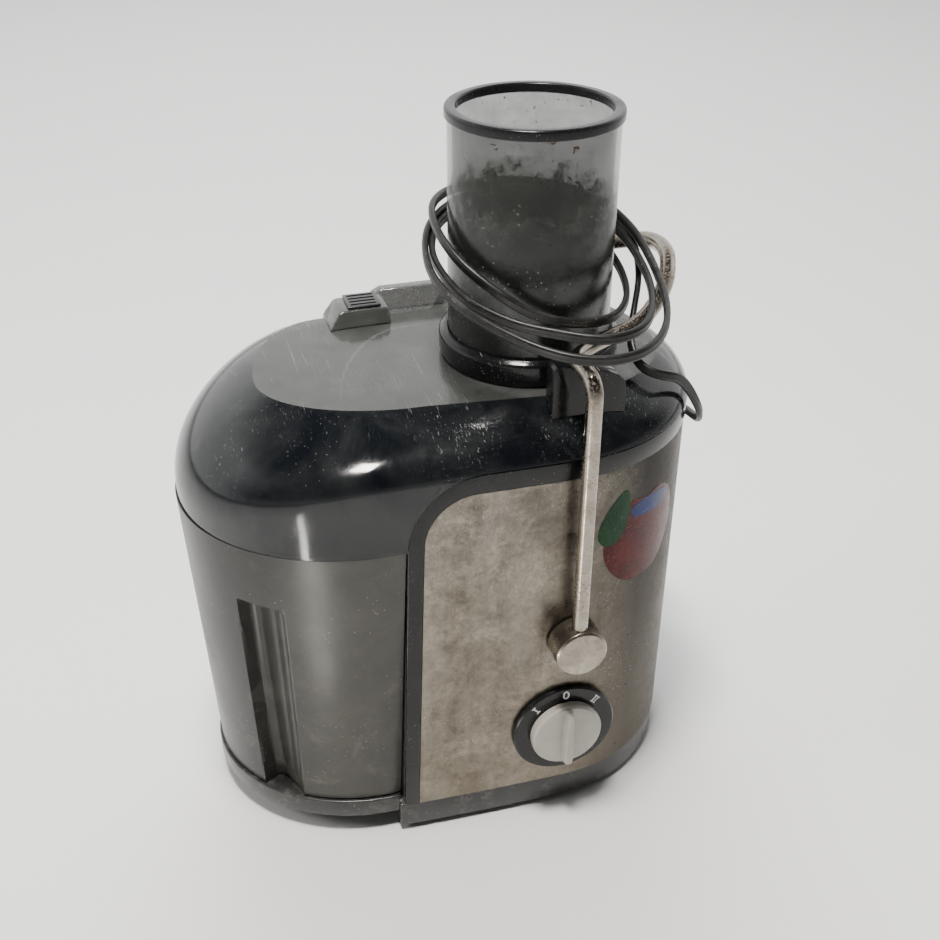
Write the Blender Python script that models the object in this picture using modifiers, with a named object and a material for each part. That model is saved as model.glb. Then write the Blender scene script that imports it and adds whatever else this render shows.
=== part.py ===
"""Centrifugal juicer with a wide feed chute, a swinging locking bail and a slide-out pulp bin.

Frame: metres, +Z up, front panel towards -Y, pulp bin towards -X, rounded end towards +X.
The origin is under the middle of the object, at the level the feet stand on.
The shapes are laid out around the chute's axis and then moved along X by ORIGIN_X.
"""

import math

import bmesh
import bpy
from mathutils import Matrix, Vector

MM = 0.001
GAP = 0.3 * MM  # clearance between touching pieces

# ---- driving dimensions -------------------------------------------------
ORIGIN_X = 39.5 * MM  # chute axis, measured from the object's middle

CHUTE_R = 40.0 * MM  # outside radius of the feed chute
CHUTE_WALL = 2.4 * MM
CHUTE_TOP = 362.0 * MM
RIM_R = 41.4 * MM
RIM_H = 4.8 * MM

LID_TOP = 240.0 * MM  # flat top of the lid
LID_WALL = 2.2 * MM
LID_JOINT = 185.3 * MM  # lower edge of the lid over the bin
END_R = 81.5 * MM  # radius of the rounded right-hand end

BODY_TOP = 221.5 * MM
BODY_LOW = 19.4 * MM
BODY_WALL = 2.4 * MM
DECK_Z = 147.0 * MM  # floor under the juice bowl
BASE_BOTTOM = 3.2 * MM
TRAY_TOP = 22.0 * MM

PIVOT_Z = 117.0 * MM  # height of the bail's pivot axis
ARM_Y = 90.7 * MM  # distance of each bail arm from the middle plane
ROD_R = 4.0 * MM
BAIL_CROSS_Z = 266.0 * MM
BAIL_BULGE_X = 69.0 * MM
BAIL_BULGE_Z = 287.0 * MM

DIAL_X = -2.4 * MM
DIAL_Z = 57.0 * MM
DIAL_R = 27.8 * MM
KNOB_R = 19.2 * MM

SPOUT_TURN = math.radians(27)  # spout direction, turned from +X towards the back
BASKET_LOW = 172.0 * MM

# ---- scene set-up -------------------------------------------------------
for item in list(bpy.data.objects):
    bpy.data.objects.remove(item, do_unlink=True)

parts = bpy.data.collections.new("centrifugal_juicer")
cutters = bpy.data.collections.new("cutters")
bpy.context.scene.collection.children.link(parts)
bpy.context.scene.collection.children.link(cutters)


def material(name, colour, roughness, metallic=0.0, alpha=1.0):
    mat = bpy.data.materials.new(name)
    mat.use_nodes = True
    shader = mat.node_tree.nodes["Principled BSDF"]
    shader.inputs["Base Color"].default_value = (*colour, 1.0)
    shader.inputs["Roughness"].default_value = roughness
    shader.inputs["Metallic"].default_value = metallic
    shader.inputs["Alpha"].default_value = alpha
    return mat


def settle(obj, mat, smooth=35):
    """Gives a finished piece its own material and smooth shading, and files it with the parts."""
    colour, roughness, metallic = mat[:3]
    alpha = mat[3] if len(mat) > 3 else 1.0
    obj.data.materials.clear()
    obj.data.materials.append(material(obj.name, colour, roughness, metallic, alpha))
    if smooth and obj.type == "MESH":
        obj.data.shade_smooth()
        obj.data.set_sharp_from_angle(angle=math.radians(smooth))
    return obj


def link(obj, cutter=False):
    (cutters if cutter else parts).objects.link(obj)
    if cutter:
        obj.hide_render = True
        obj.display_type = "WIRE"
    return obj


def from_bmesh(name, bm, cutter=False):
    bmesh.ops.recalc_face_normals(bm, faces=bm.faces)
    mesh = bpy.data.meshes.new(name)
    bm.to_mesh(mesh)
    bm.free()
    return link(bpy.data.objects.new(name, mesh), cutter)


def block(name, size, centre, bevel=0.0, segments=2, cutter=False, turn=0.0):
    bm = bmesh.new()
    bmesh.ops.create_cube(bm, size=1.0)
    bmesh.ops.scale(bm, vec=Vector(size), verts=bm.verts)
    obj = from_bmesh(name, bm, cutter)
    obj.location = centre
    obj.rotation_euler = (0, 0, turn)
    if bevel:
        mod = obj.modifiers.new("edges", "BEVEL")
        mod.width = bevel
        mod.segments = segments
    return obj


def rod(name, radius, length, centre, axis="Z", sides=32, bevel=0.0, cutter=False, radius2=None):
    """A cylinder or cone along an axis, centred at a point."""
    bm = bmesh.new()
    bmesh.ops.create_cone(
        bm,
        cap_ends=True,
        segments=sides,
        radius1=radius,
        radius2=radius if radius2 is None else radius2,
        depth=length,
    )
    turn = {
        "Z": Matrix.Identity(3),
        "Y": Matrix.Rotation(math.radians(90), 3, "X"),
        "X": Matrix.Rotation(math.radians(90), 3, "Y"),
    }[axis]
    bmesh.ops.rotate(bm, cent=(0, 0, 0), matrix=turn, verts=bm.verts)
    obj = from_bmesh(name, bm, cutter)
    obj.location = centre
    if bevel:
        mod = obj.modifiers.new("edges", "BEVEL")
        mod.width = bevel
        mod.segments = 2
        mod.limit_method = "ANGLE"
        mod.angle_limit = math.radians(50)
    return obj


def turned(name, profile, centre=(0, 0, 0), steps=32, axis="Z", cutter=False):
    """A profile of (radius, height) in order down its outer side, turned with a Screw modifier.

    A profile that starts and ends on the axis is a solid; any other is closed into a ring.
    """
    bm = bmesh.new()
    verts = [bm.verts.new((r, 0, h)) for r, h in profile]
    for a, b in zip(verts, verts[1:]):
        bm.edges.new((a, b))
    if profile[0][0] > 0 or profile[-1][0] > 0:
        bm.edges.new((verts[-1], verts[0]))
    mesh = bpy.data.meshes.new(name)
    bm.to_mesh(mesh)
    bm.free()
    obj = link(bpy.data.objects.new(name, mesh), cutter)
    obj.location = centre
    if axis == "Y":  # the profile's height then runs towards -Y
        obj.rotation_euler = (math.radians(90), 0, 0)
    mod = obj.modifiers.new("turn", "SCREW")
    mod.axis = "Z"
    mod.steps = steps
    mod.render_steps = steps
    mod.use_merge_vertices = True
    mod.merge_threshold = 0.00001
    mod.use_smooth_shade = True
    return obj


def outline(name, points, thickness, centre=(0, 0, 0), facing="Z", cutter=False):
    """A flat outline made solid: a filled 2D curve extruded half its thickness each way."""
    curve = bpy.data.curves.new(name, "CURVE")
    curve.dimensions = "2D"
    curve.fill_mode = "BOTH"
    curve.extrude = thickness / 2
    spline = curve.splines.new("POLY")
    spline.points.add(len(points) - 1)
    for point, (x, y) in zip(spline.points, points):
        point.co = (x, y, 0, 1)
    spline.use_cyclic_u = True
    drawn = bpy.data.objects.new(name + "_curve", curve)
    bpy.context.scene.collection.objects.link(drawn)
    drawn.location = centre
    if facing == "Y":  # outline drawn in X and Z
        drawn.rotation_euler = (math.radians(90), 0, 0)
    bpy.context.view_layer.update()
    mesh = bpy.data.meshes.new_from_object(
        drawn.evaluated_get(bpy.context.evaluated_depsgraph_get())
    )
    mesh.name = name
    place = drawn.matrix_world.copy()
    bpy.data.objects.remove(drawn, do_unlink=True)
    bm = bmesh.new()
    bm.from_mesh(mesh)
    bmesh.ops.remove_doubles(bm, verts=bm.verts, dist=1e-6)
    bmesh.ops.recalc_face_normals(bm, faces=bm.faces)
    bm.to_mesh(mesh)
    bm.free()
    obj = link(bpy.data.objects.new(name, mesh), cutter)
    obj.matrix_world = place
    return obj


def tube(name, points, radius, resolution=2, centre=(0, 0, 0), cutter=False):
    """A round bar along a line of points, as a mesh with welded end caps."""
    curve = bpy.data.curves.new(name, "CURVE")
    curve.dimensions = "3D"
    curve.bevel_depth = radius
    curve.bevel_resolution = resolution
    curve.use_fill_caps = True
    spline = curve.splines.new("POLY")
    spline.points.add(len(points) - 1)
    for point, co in zip(spline.points, points):
        point.co = (*(Vector(co) - Vector(centre)), 1)
    drawn = bpy.data.objects.new(name + "_curve", curve)
    bpy.context.scene.collection.objects.link(drawn)
    drawn.location = centre
    bpy.context.view_layer.update()
    mesh = bpy.data.meshes.new_from_object(
        drawn.evaluated_get(bpy.context.evaluated_depsgraph_get())
    )
    mesh.name = name
    place = drawn.matrix_world.copy()
    bpy.data.objects.remove(drawn, do_unlink=True)
    bm = bmesh.new()
    bm.from_mesh(mesh)
    bmesh.ops.remove_doubles(bm, verts=bm.verts, dist=1e-6)
    bmesh.ops.recalc_face_normals(bm, faces=bm.faces)
    bm.to_mesh(mesh)
    bm.free()
    obj = link(bpy.data.objects.new(name, mesh), cutter)
    obj.matrix_world = place
    return obj


def loft(name, sections, cutter=False):
    """A closed solid through sections of equal point count, capped at both ends."""
    bm = bmesh.new()
    rings = [[bm.verts.new(co) for co in section] for section in sections]
    for low, high in zip(rings, rings[1:]):
        for i in range(len(low)):
            j = (i + 1) % len(low)
            bm.faces.new((low[i], low[j], high[j], high[i]))
    bm.faces.new(list(reversed(rings[0])))
    bm.faces.new(rings[-1])
    return from_bmesh(name, bm, cutter)


def boolean(obj, other, operation="DIFFERENCE"):
    mod = obj.modifiers.new(operation.lower(), "BOOLEAN")
    mod.operation = operation
    mod.solver = "EXACT"
    mod.object = other
    return obj


def smooth_path(corners, radius, per_bend=6):
    """A path through corners, each rounded with an arc of about the given radius."""
    corners = [Vector(c) for c in corners]
    path = [corners[0]]
    for before, at, after in zip(corners, corners[1:], corners[2:]):
        a = (before - at).normalized()
        b = (after - at).normalized()
        reach = min(radius, (before - at).length * 0.45, (after - at).length * 0.45)
        start, end = at + a * reach, at + b * reach
        for i in range(per_bend + 1):
            t = i / per_bend
            path.append(start * (1 - t) ** 2 + at * 2 * t * (1 - t) + end * t * t)
    path.append(corners[-1])
    return path


def smooth_curve(knots, count):
    """Evenly spaced points along a Catmull-Rom curve through the knots."""
    knots = [Vector(k) for k in knots]
    ends = [knots[0] * 2 - knots[1]] + knots + [knots[-1] * 2 - knots[-2]]
    fine = []
    for i in range(1, len(ends) - 2):
        p0, p1, p2, p3 = ends[i - 1 : i + 3]
        for k in range(24):
            t = k / 24
            fine.append(
                0.5
                * (
                    2 * p1
                    + (p2 - p0) * t
                    + (2 * p0 - 5 * p1 + 4 * p2 - p3) * t * t
                    + (3 * p1 - p0 - 3 * p2 + p3) * t**3
                )
            )
    fine.append(knots[-1])
    lengths = [0.0]
    for a, b in zip(fine, fine[1:]):
        lengths.append(lengths[-1] + (b - a).length)
    out = []
    j = 0
    for i in range(count):
        want = lengths[-1] * i / (count - 1)
        while j < len(fine) - 2 and lengths[j + 1] < want:
            j += 1
        span = max(lengths[j + 1] - lengths[j], 1e-12)
        out.append(fine[j].lerp(fine[j + 1], min(1.0, (want - lengths[j]) / span)))
    return out


# ---- plan outlines ------------------------------------------------------
def egg(nose, nose_centre, nose_half, end_x, end_r, left_n=14, right_n=12, side_n=2):
    """Plan of the lid: an elliptical nose at -X, straight flanks and a round end at +X.

    nose is the tip's X, nose_centre and nose_half its ellipse's centre and half width.
    Points run anticlockwise seen from above, starting at the front of the round end.
    """
    pts = []
    for i in range(right_n + 1):
        a = -math.pi / 2 + math.pi * i / right_n
        pts.append((end_x + end_r * math.cos(a), end_r * math.sin(a)))
    for i in range(1, side_n + 1):
        t = i / (side_n + 1)
        pts.append((end_x + (nose_centre - end_x) * t, end_r + (nose_half - end_r) * t))
    for i in range(left_n + 1):
        a = math.pi / 2 + math.pi * i / left_n
        pts.append((nose_centre + (nose_centre - nose) * math.cos(a), nose_half * math.sin(a)))
    for i in range(1, side_n + 1):
        t = i / (side_n + 1)
        pts.append((nose_centre + (end_x - nose_centre) * t, -(nose_half + (end_r - nose_half) * t)))
    return pts


def body_plan(inset, left=-92 * MM, arc_n=16):
    """Plan of the motor housing: slightly bowed front and back, round right-hand end."""
    r = END_R - inset
    pts = []
    for i in range(arc_n + 1):
        a = -math.pi / 2 + math.pi * i / arc_n
        pts.append((r * math.cos(a), r * math.sin(a)))
    bow = 2.3 * MM
    for t in (0.25, 0.5, 0.75, 1.0):
        pts.append((left * t, r - bow * t * t))
    for t in (1.0, 0.75, 0.5, 0.25):
        pts.append((left * t, -(r - bow * t * t)))
    return pts


def front_shape(grow, low, right=120 * MM, top_grow=None):
    """Front view of the housing: leaning left edge, round top left corner, level top."""
    up = grow if top_grow is None else top_grow
    foot = (-88.2 * MM - grow, BODY_LOW)
    shoulder = (-83.2 * MM - grow, 178 * MM)
    slope = (shoulder[0] - foot[0]) / (shoulder[1] - foot[1])
    pts = [(foot[0] - slope * (foot[1] - low), low)]
    centre = (-46.0 * MM, 184.0 * MM)
    rx, rz = -centre[0] + shoulder[0], BODY_TOP + up - centre[1]
    rx = abs(-83.0 * MM - grow - centre[0])
    for i in range(13):
        a = math.pi - math.pi / 2 * i / 12
        pts.append((centre[0] + rx * math.cos(a), centre[1] + rz * math.sin(a)))
    pts += [(right, BODY_TOP + up), (right, low)]
    return pts


def ring_sector(r0, r1, a0, a1, n):
    pts = []
    for i in range(n + 1):
        a = a0 + (a1 - a0) * i / n
        pts.append((r1 * math.cos(a), r1 * math.sin(a)))
    for i in range(n, -1, -1):
        a = a0 + (a1 - a0) * i / n
        pts.append((r0 * math.cos(a), r0 * math.sin(a)))
    return pts


def box_outline(x0, x1, z0, z1):
    return [(x0, z0), (x1, z0), (x1, z1), (x0, z1)]


BLACK = ((0.012, 0.012, 0.013), 0.35, 0.0)
GLOSS = ((0.008, 0.008, 0.009), 0.12, 0.0)
GREY = ((0.045, 0.045, 0.047), 0.45, 0.0)
SMOKE = ((0.05, 0.055, 0.06), 0.1, 0.0, 0.5)
STEEL = ((0.42, 0.40, 0.37), 0.35, 1.0)
CHROME = ((0.75, 0.74, 0.73), 0.15, 1.0)
RUBBER = ((0.02, 0.02, 0.02), 0.8, 0.0)
CREAM = ((0.62, 0.60, 0.54), 0.4, 0.0)
COPPER = ((0.6, 0.28, 0.12), 0.35, 1.0)
NATURAL = ((0.55, 0.55, 0.52), 0.4, 0.0)

# ---- base ---------------------------------------------------------------
# Plinth under the housing and the shelf the bin stands on, hollow below.
TRAY_NOSE, TRAY_CENTRE, TRAY_HALF = -176.5 * MM, -93 * MM, 73.8 * MM


def tray_plan(inset, right):
    a, b = TRAY_CENTRE - TRAY_NOSE - inset, TRAY_HALF - inset
    pts = []
    for i in range(25):
        t = math.pi / 2 + math.pi * i / 24
        pts.append((TRAY_CENTRE + a * math.cos(t), b * math.sin(t)))
    return pts + [(right, -b), (right, b)]


def plinth(name, inset, low, high, cutter=False):
    return outline(
        name, body_plan(inset, left=-92 * MM + inset), high - low, (0, 0, (low + high) / 2), cutter=cutter
    )


base = plinth("base_shell", 1.2 * MM, BASE_BOTTOM, BODY_LOW - GAP)
tray = outline("tray_block", tray_plan(0, -80 * MM), 11 * MM, (0, 0, TRAY_TOP - 5.5 * MM), cutter=True)
boolean(base, tray, "UNION")
# the shelf stops just short of the housing's leaning side
boolean(base, block("shelf_stop", (100 * MM, 200 * MM, 20 * MM), (-39.0 * MM, 0, BODY_LOW - GAP + 10 * MM), cutter=True))
base_hollow = plinth("plinth_hollow", 4.2 * MM, -10 * MM, 16.4 * MM, cutter=True)
boolean(base, base_hollow)
tray_hollow = outline("tray_hollow", tray_plan(2.6 * MM, -80 * MM), 30 * MM, (0, 0, 4.4 * MM), cutter=True)
boolean(base, tray_hollow)
settle(base, BLACK)

plate = outline(
    "bottom_plate",
    body_plan(4.6 * MM, left=-86.8 * MM),
    2.2 * MM,
    (0, 0, BASE_BOTTOM + 1.1 * MM),
)
slot_cuts = []
for i in range(5):
    slot_cuts.append(block(f"vent_cut_{i}", (34 * MM, 3 * MM, 10 * MM), (-28 * MM, (i - 2) * 9 * MM, 4 * MM), cutter=True))
for cut in slot_cuts:
    boolean(plate, cut)
settle(plate, BLACK)

for i, (x, y) in enumerate(((-136, -38), (-136, 38), (34, -56), (34, 56))):
    foot_h = BASE_BOTTOM - GAP if x > 0 else TRAY_TOP - 3.0 * MM
    top = BASE_BOTTOM - GAP if x > 0 else 19.0 * MM - 0.9 * MM
    foot = rod(f"foot_{i + 1}", 9 * MM, top, (x * MM, y * MM, top / 2), sides=24)
    settle(foot, RUBBER)

# ---- motor housing ------------------------------------------------------
housing = plinth("housing_block", 3.0 * MM, BODY_LOW, 240 * MM)
housing.name = "motor_housing"
front_cut = outline("housing_front", front_shape(0, BODY_LOW - 5 * MM), 260 * MM, facing="Y", cutter=True)
boolean(housing, front_cut, "INTERSECT")
# one cavity for the motor below the deck, one for the bowl above it
motor_room = plinth("motor_room", 3.0 * MM + BODY_WALL, BODY_LOW - 10 * MM, DECK_Z - 3 * MM, cutter=True)
room_front = outline("room_front", front_shape(-BODY_WALL, BODY_LOW - 20 * MM), 260 * MM, facing="Y", cutter=True)
boolean(motor_room, room_front, "INTERSECT")
boolean(housing, motor_room)
bowl_room = rod("bowl_room", 76.1 * MM, 120 * MM, (0, 0, DECK_Z + 60 * MM), sides=48, cutter=True)
boolean(housing, bowl_room)
shaft_hole = rod("shaft_hole", 17 * MM, 30 * MM, (0, 0, DECK_Z), sides=40, cutter=True)
boolean(housing, shaft_hole)
notch = block("spout_notch", (60 * MM, 25 * MM, 90 * MM), (0, 0, 0), cutter=True, turn=SPOUT_TURN)
notch.location = (
    80 * MM * math.cos(SPOUT_TURN),
    80 * MM * math.sin(SPOUT_TURN),
    148.4 * MM + 45 * MM,
)
boolean(housing, notch)
pivot_bore = rod("pivot_bore", 6.0 * MM, 260 * MM, (0, 0, PIVOT_Z), axis="Y", sides=24, cutter=True)
boolean(housing, pivot_bore)
dial_bore = rod("dial_bore", 5.5 * MM, 40 * MM, (DIAL_X, -80 * MM, DIAL_Z), axis="Y", sides=24, cutter=True)
boolean(housing, dial_bore)
cord_turn = math.radians(40)
cord_bore = rod("cord_bore", 4.6 * MM, 30 * MM, (0, 0, 0), axis="X", sides=20, cutter=True)
cord_bore.location = (78 * MM * math.cos(cord_turn), 78 * MM * math.sin(cord_turn), 40 * MM)
cord_bore.rotation_euler = (0, 0, cord_turn)
boolean(housing, cord_bore)
settle(housing, BLACK)

# ---- front panel and its trim ------------------------------------------
PANEL_END = math.radians(-14)  # where the sheet ends on the round end
TRIM_T = 2.7 * MM
trim = plinth("panel_trim", 0, BODY_LOW, 240 * MM)
trim_hollow = plinth("trim_hollow", TRIM_T, 0, 300 * MM, cutter=True)
boolean(trim, trim_hollow)
boolean(trim, outline("trim_front", front_shape(0, 0), 260 * MM, facing="Y", cutter=True), "INTERSECT")
PANEL_LOW = BODY_LOW


def panel_window(grow, low):
    """Front view of the window the steel sheet fills."""
    foot, shoulder = -80.9 * MM, -75.4 * MM
    slope = (shoulder - foot) / (180 * MM - BODY_LOW)
    pts = [(foot - slope * (BODY_LOW - low) - grow, low), (shoulder - grow, 180 * MM)]
    centre = (-49.0 * MM, 184.5 * MM)
    rx, rz = abs(-75.2 * MM - grow - centre[0]), 211.5 * MM + grow - centre[1]
    for i in range(1, 11):
        a = math.pi - math.pi / 2 * i / 10
        pts.append((centre[0] + rx * math.cos(a), centre[1] + rz * math.sin(a)))
    return pts + [(120 * MM, 211.5 * MM + grow), (120 * MM, low)]


def sector_block(name, a0, a1, cutter=True):
    """Everything between two directions on the round end, and in front of it."""
    far = 200 * MM
    pts = [(0, 0), (far * math.cos(a0), far * math.sin(a0))]
    n = 6
    for i in range(1, n + 1):
        a = a0 + (a1 - a0) * i / n
        pts.append((far * math.cos(a), far * math.sin(a)))
    return outline(name, pts, 400 * MM, (0, 0, 150 * MM), cutter=cutter)


# the sheet's zone in plan: the front and the round end as far as PANEL_END
zone = sector_block("panel_zone", math.radians(-200 + 16), PANEL_END)
window = outline("trim_window", panel_window(0, -20 * MM), 260 * MM, (0, 0, 0), facing="Y", cutter=True)
boolean(window, zone, "INTERSECT")
boolean(trim, window)
# the trim stays on the front and the round end only
trim_zone = sector_block("trim_zone", math.radians(-184), math.radians(-8))
boolean(trim, trim_zone, "INTERSECT")
settle(trim, GLOSS)

panel = plinth("front_panel", 0.5 * MM, BODY_LOW, 240 * MM)
boolean(panel, plinth("panel_hollow", 1.4 * MM, 0, 300 * MM, cutter=True))
boolean(panel, outline("panel_front", panel_window(-GAP, 0), 260 * MM, facing="Y", cutter=True), "INTERSECT")
boolean(panel, sector_block("panel_keep", math.radians(-200 + 16.5), PANEL_END - math.radians(0.3)), "INTERSECT")
boolean(panel, rod("panel_pivot_bore", 6.0 * MM, 60 * MM, (0, -80 * MM, PIVOT_Z), axis="Y", sides=24, cutter=True))
boolean(panel, dial_bore)
settle(panel, STEEL)

# ---- pulp bin -----------------------------------------------------------
BIN_LOW = TRAY_TOP + GAP


def bin_section(z, inset, n=28):
    """Plan of the bin at a height: half an ellipse closed by a leaning flat side."""
    t = (z - BIN_LOW) / (LID_JOINT - GAP - BIN_LOW)
    centre = -93 * MM + 1 * MM * t
    a = 82.0 * MM + 7.2 * MM * t - inset
    b = 72.0 * MM + 8.6 * MM * t - inset
    right = -88.9 * MM + 5.0 * MM * t - inset
    pts = [(right, b)]
    for i in range(n + 1):
        s = math.pi / 2 + math.pi * i / n
        pts.append((centre + a * math.cos(s), b * math.sin(s)))
    pts.append((right, -b))
    return [(x, y, z) for x, y in pts]


def grip(name, side, depth, grow, low):
    """Upright finger groove in the bin's flank: steep on the nose side, shallow towards the body."""
    # the groove's two edges on the flank, at the bin's foot and at the groove's top
    out = []
    for z, left, right in (
        (low, (-157.0, 45.0), (-138.4, 60.2)),
        (75 * MM, (-159.4, 46.4), (-138.7, 63.2)),
        (148 * MM, (-161.4, 49.6), (-139.8, 66.6)),
    ):
        l, r = Vector(left) * MM, Vector(right) * MM
        along = (r - l).normalized()
        inward = Vector((-along.y, along.x))
        if inward.y > 0:
            inward = -inward
        l, r = l - along * grow, r + along * grow
        far = -inward * 20 * MM
        section = [
            l + far,
            l,
            l + along * 3.0 * MM + inward * (depth * 0.86 + grow),
            l + along * 7.5 * MM + inward * (depth + grow),
            l + (r - l) * 0.62 + inward * (depth * 0.66 + grow),
            l + (r - l) * 0.84 + inward * (depth * 0.30 + grow),
            r,
            r + far,
        ]
        out.append([(p.x, side * p.y, z) for p in section])
    # rounded head above the last section
    head = out[-1]
    mid = Vector(head[3])
    edge = (Vector(head[1]) + Vector(head[6])) / 2
    for lift, shrink in ((3.2 * MM + grow, 0.75), (4.6 * MM + grow, 0.35)):
        ring = []
        for p in head:
            p = Vector(p)
            q = edge.lerp(p, shrink) if p not in () else p
            ring.append((q.x, q.y, head[0][2] + lift))
        out.append(ring)
    return loft(name, out, cutter=True)


bin_obj = loft("pulp_bin", [bin_section(BIN_LOW, 0), bin_section(60 * MM, 0), bin_section(120 * MM, 0), bin_section(LID_JOINT - GAP, 0)])
bin_room = loft("bin_room", [bin_section(BIN_LOW + 2.2 * MM, 2.2 * MM), bin_section(100 * MM, 2.2 * MM), bin_section(LID_JOINT + 10 * MM, 2.2 * MM)], cutter=True)
for side in (-1, 1):
    boolean(bin_room, grip(f"grip_wall_{side}", side, 9 * MM, 2.0 * MM, BIN_LOW - 5 * MM))
    boolean(bin_obj, grip(f"grip_cut_{side}", side, 9 * MM, 0.0, BIN_LOW - 6 * MM))
boolean(bin_obj, bin_room)
settle(bin_obj, GREY)

# ---- lid ----------------------------------------------------------------
lid_low = egg(-180.4 * MM, -92 * MM, 80.9 * MM, 0, 82.3 * MM)
lid_high = egg(-137.5 * MM, -64 * MM, 44.5 * MM, 8 * MM, 52.0 * MM)
# the flat top reaches much further towards the back than towards the front
lid_back = egg(-137.5 * MM, -95 * MM, 62.0 * MM, 8 * MM, 68.0 * MM)
for i in range(7, 22):
    x, y = lid_back[i]
    lid_high[i] = (8 * MM + (x - 8 * MM) * 52 / 68 if x > 8 * MM else x, y)
# and its round end reaches further than its flanks do
lid_high = [(x + (6 * MM * (x - 8 * MM) / (52 * MM) if x > 8 * MM else 0), y) for x, y in lid_high]
lid_low_in = egg(-180.4 * MM + LID_WALL, -92 * MM, 80.9 * MM - LID_WALL, 0, 82.3 * MM - LID_WALL)
lid_high_in = [(x * 0.985, y * 0.965) for x, y in lid_high]


def shoulder_start(x):
    """Height where the lid's upright skirt turns over: low at the nose, high along the front."""
    t = min(max((x + 181 * MM) / (85 * MM), 0), 1)
    return 190 * MM + 28 * MM * (1 - (1 - t) ** 1.6)


def lid_sections(low, high, drop, bottom, steps=4):
    out = [[(x, y, bottom) for x, y in low]]
    out.append([(x, y, shoulder_start(x) - drop) for x, y in low])
    power = 2 / 1.75
    for i in range(1, steps + 1):
        a = math.pi / 2 * i / steps
        c, s = math.cos(a) ** power if i < steps else 0.0, math.sin(a) ** power
        ring = []
        for (x0, y0), (x1, y1) in zip(low, high):
            start = shoulder_start(x0)
            ring.append((x1 + (x0 - x1) * c, y1 + (y0 - y1) * c, start + (LID_TOP - start) * s - drop))
        out.append(ring)
    return out


lid = loft("lid", lid_sections(lid_low, lid_high, 0.0, LID_JOINT))
lid_room = loft("lid_room", lid_sections(lid_low_in, lid_high_in, LID_WALL, LID_JOINT - 20 * MM), cutter=True)
# raised vent housing on the back edge of the top, with a low rib running on from it
VENT_TOP = 248.6 * MM
RIB_TOP = 250.6 * MM
vent_house = outline(
    "vent_house",
    [(-93 * MM, 232 * MM), (-92 * MM, 240.6 * MM), (-86 * MM, VENT_TOP - 1 * MM), (-84 * MM, VENT_TOP), (-61 * MM, VENT_TOP), (-59.5 * MM, VENT_TOP - 1.5 * MM), (-59.5 * MM, 232 * MM)],
    19.0 * MM,
    (0, 57.8 * MM, 0),
    facing="Y",
    cutter=True,
)
vent_rib = outline(
    "vent_rib",
    [(-65.3 * MM, 224.7 * MM), (-65.1 * MM, VENT_TOP - 0.7 * MM), (-60 * MM, RIB_TOP), (-26 * MM, RIB_TOP), (-24 * MM, RIB_TOP - 2 * MM), (-23.8 * MM, 224.7 * MM)],
    7.0 * MM,
    (0, 69.45 * MM, 0),
    facing="Y",
    cutter=True,
)
boolean(vent_house, vent_rib, "UNION")
boolean(lid, vent_house, "UNION")
boolean(lid_room, block("vent_room", (26 * MM, 14.6 * MM, 20 * MM), (-73.6 * MM, 57.8 * MM, VENT_TOP - LID_WALL - 10 * MM), cutter=True), "UNION")
boolean(lid, lid_room)
lid_arch = outline("lid_arch", front_shape(0.4 * MM, 100 * MM), 260 * MM, facing="Y", cutter=True)
boolean(lid, lid_arch)
boolean(lid, rod("chute_hole", CHUTE_R + GAP, 60 * MM, (0, 0, LID_TOP), sides=48, cutter=True))
VENT = (-72.6 * MM, 57.8 * MM)
for i in range(4):
    boolean(
        lid,
        block(f"lid_slot_{i}", (14.4 * MM, 1.8 * MM, 20 * MM), (VENT[0], VENT[1] + (i - 1.5) * 3.7 * MM, VENT_TOP), cutter=True),
    )
settle(lid, SMOKE)

vent = block("lid_vent_grille", (17.6 * MM, 16.8 * MM, 1.4 * MM), (VENT[0], VENT[1], VENT_TOP + GAP + 0.7 * MM), bevel=0.4 * MM, segments=1)
for i in range(4):
    boolean(vent, block(f"vent_slot_{i}", (14 * MM, 1.6 * MM, 20 * MM), (VENT[0], VENT[1] + (i - 1.5) * 3.7 * MM, VENT_TOP), cutter=True))
settle(vent, BLACK)

grown_low = egg(-180.4 * MM - GAP, -92 * MM, 80.9 * MM + GAP, 0, 82.3 * MM + GAP)
grown_high = [(x * 1.006, y * 1.006) for x, y in lid_high]
lid_skin = loft("lid_skin", lid_sections(grown_low, grown_high, -GAP, LID_JOINT - 20 * MM), cutter=True)

# saddles the closed bail rests in, one on each shoulder of the lid
for side, name in ((-1, "bail_saddle_front"), (1, "bail_saddle_rear")):
    low = LID_TOP - 14 * MM
    top = BAIL_CROSS_Z - ROD_R - 0.6 * MM
    pts = [(-10 * MM, low), (26.4 * MM, low), (26.4 * MM, top - 16 * MM), (25.2 * MM, top - 10.6 * MM), (22.2 * MM, top - 7.2 * MM),
           (17.4 * MM, top - 4.8 * MM), (11 * MM, top - 3.4 * MM), (6.4 * MM, top - 2.6 * MM), (4.6 * MM, top), (-4.8 * MM, top), (-5.4 * MM, top + 0.8 * MM),
           (-8.2 * MM, top + 0.8 * MM), (-9.6 * MM, top - 1.0 * MM), (-10 * MM, top - 4 * MM)]
    saddle = outline(name, pts, 9.0 * MM, (0, side * 60.8 * MM, 0), facing="Y")
    boolean(saddle, lid_skin)
    settle(saddle, GLOSS)

collar = turned(
    "chute_collar",
    [
        (CHUTE_R + GAP, 253.6 * MM),
        (41.6 * MM, 253.6 * MM),
        (43.6 * MM, 252.6 * MM),
        (44.6 * MM, 250.2 * MM),
        (44.5 * MM, 243.4 * MM),
        (43.2 * MM, LID_TOP + GAP),
        (CHUTE_R + GAP, LID_TOP + GAP),
    ],
    steps=32,
)
settle(collar, GLOSS)

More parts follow.
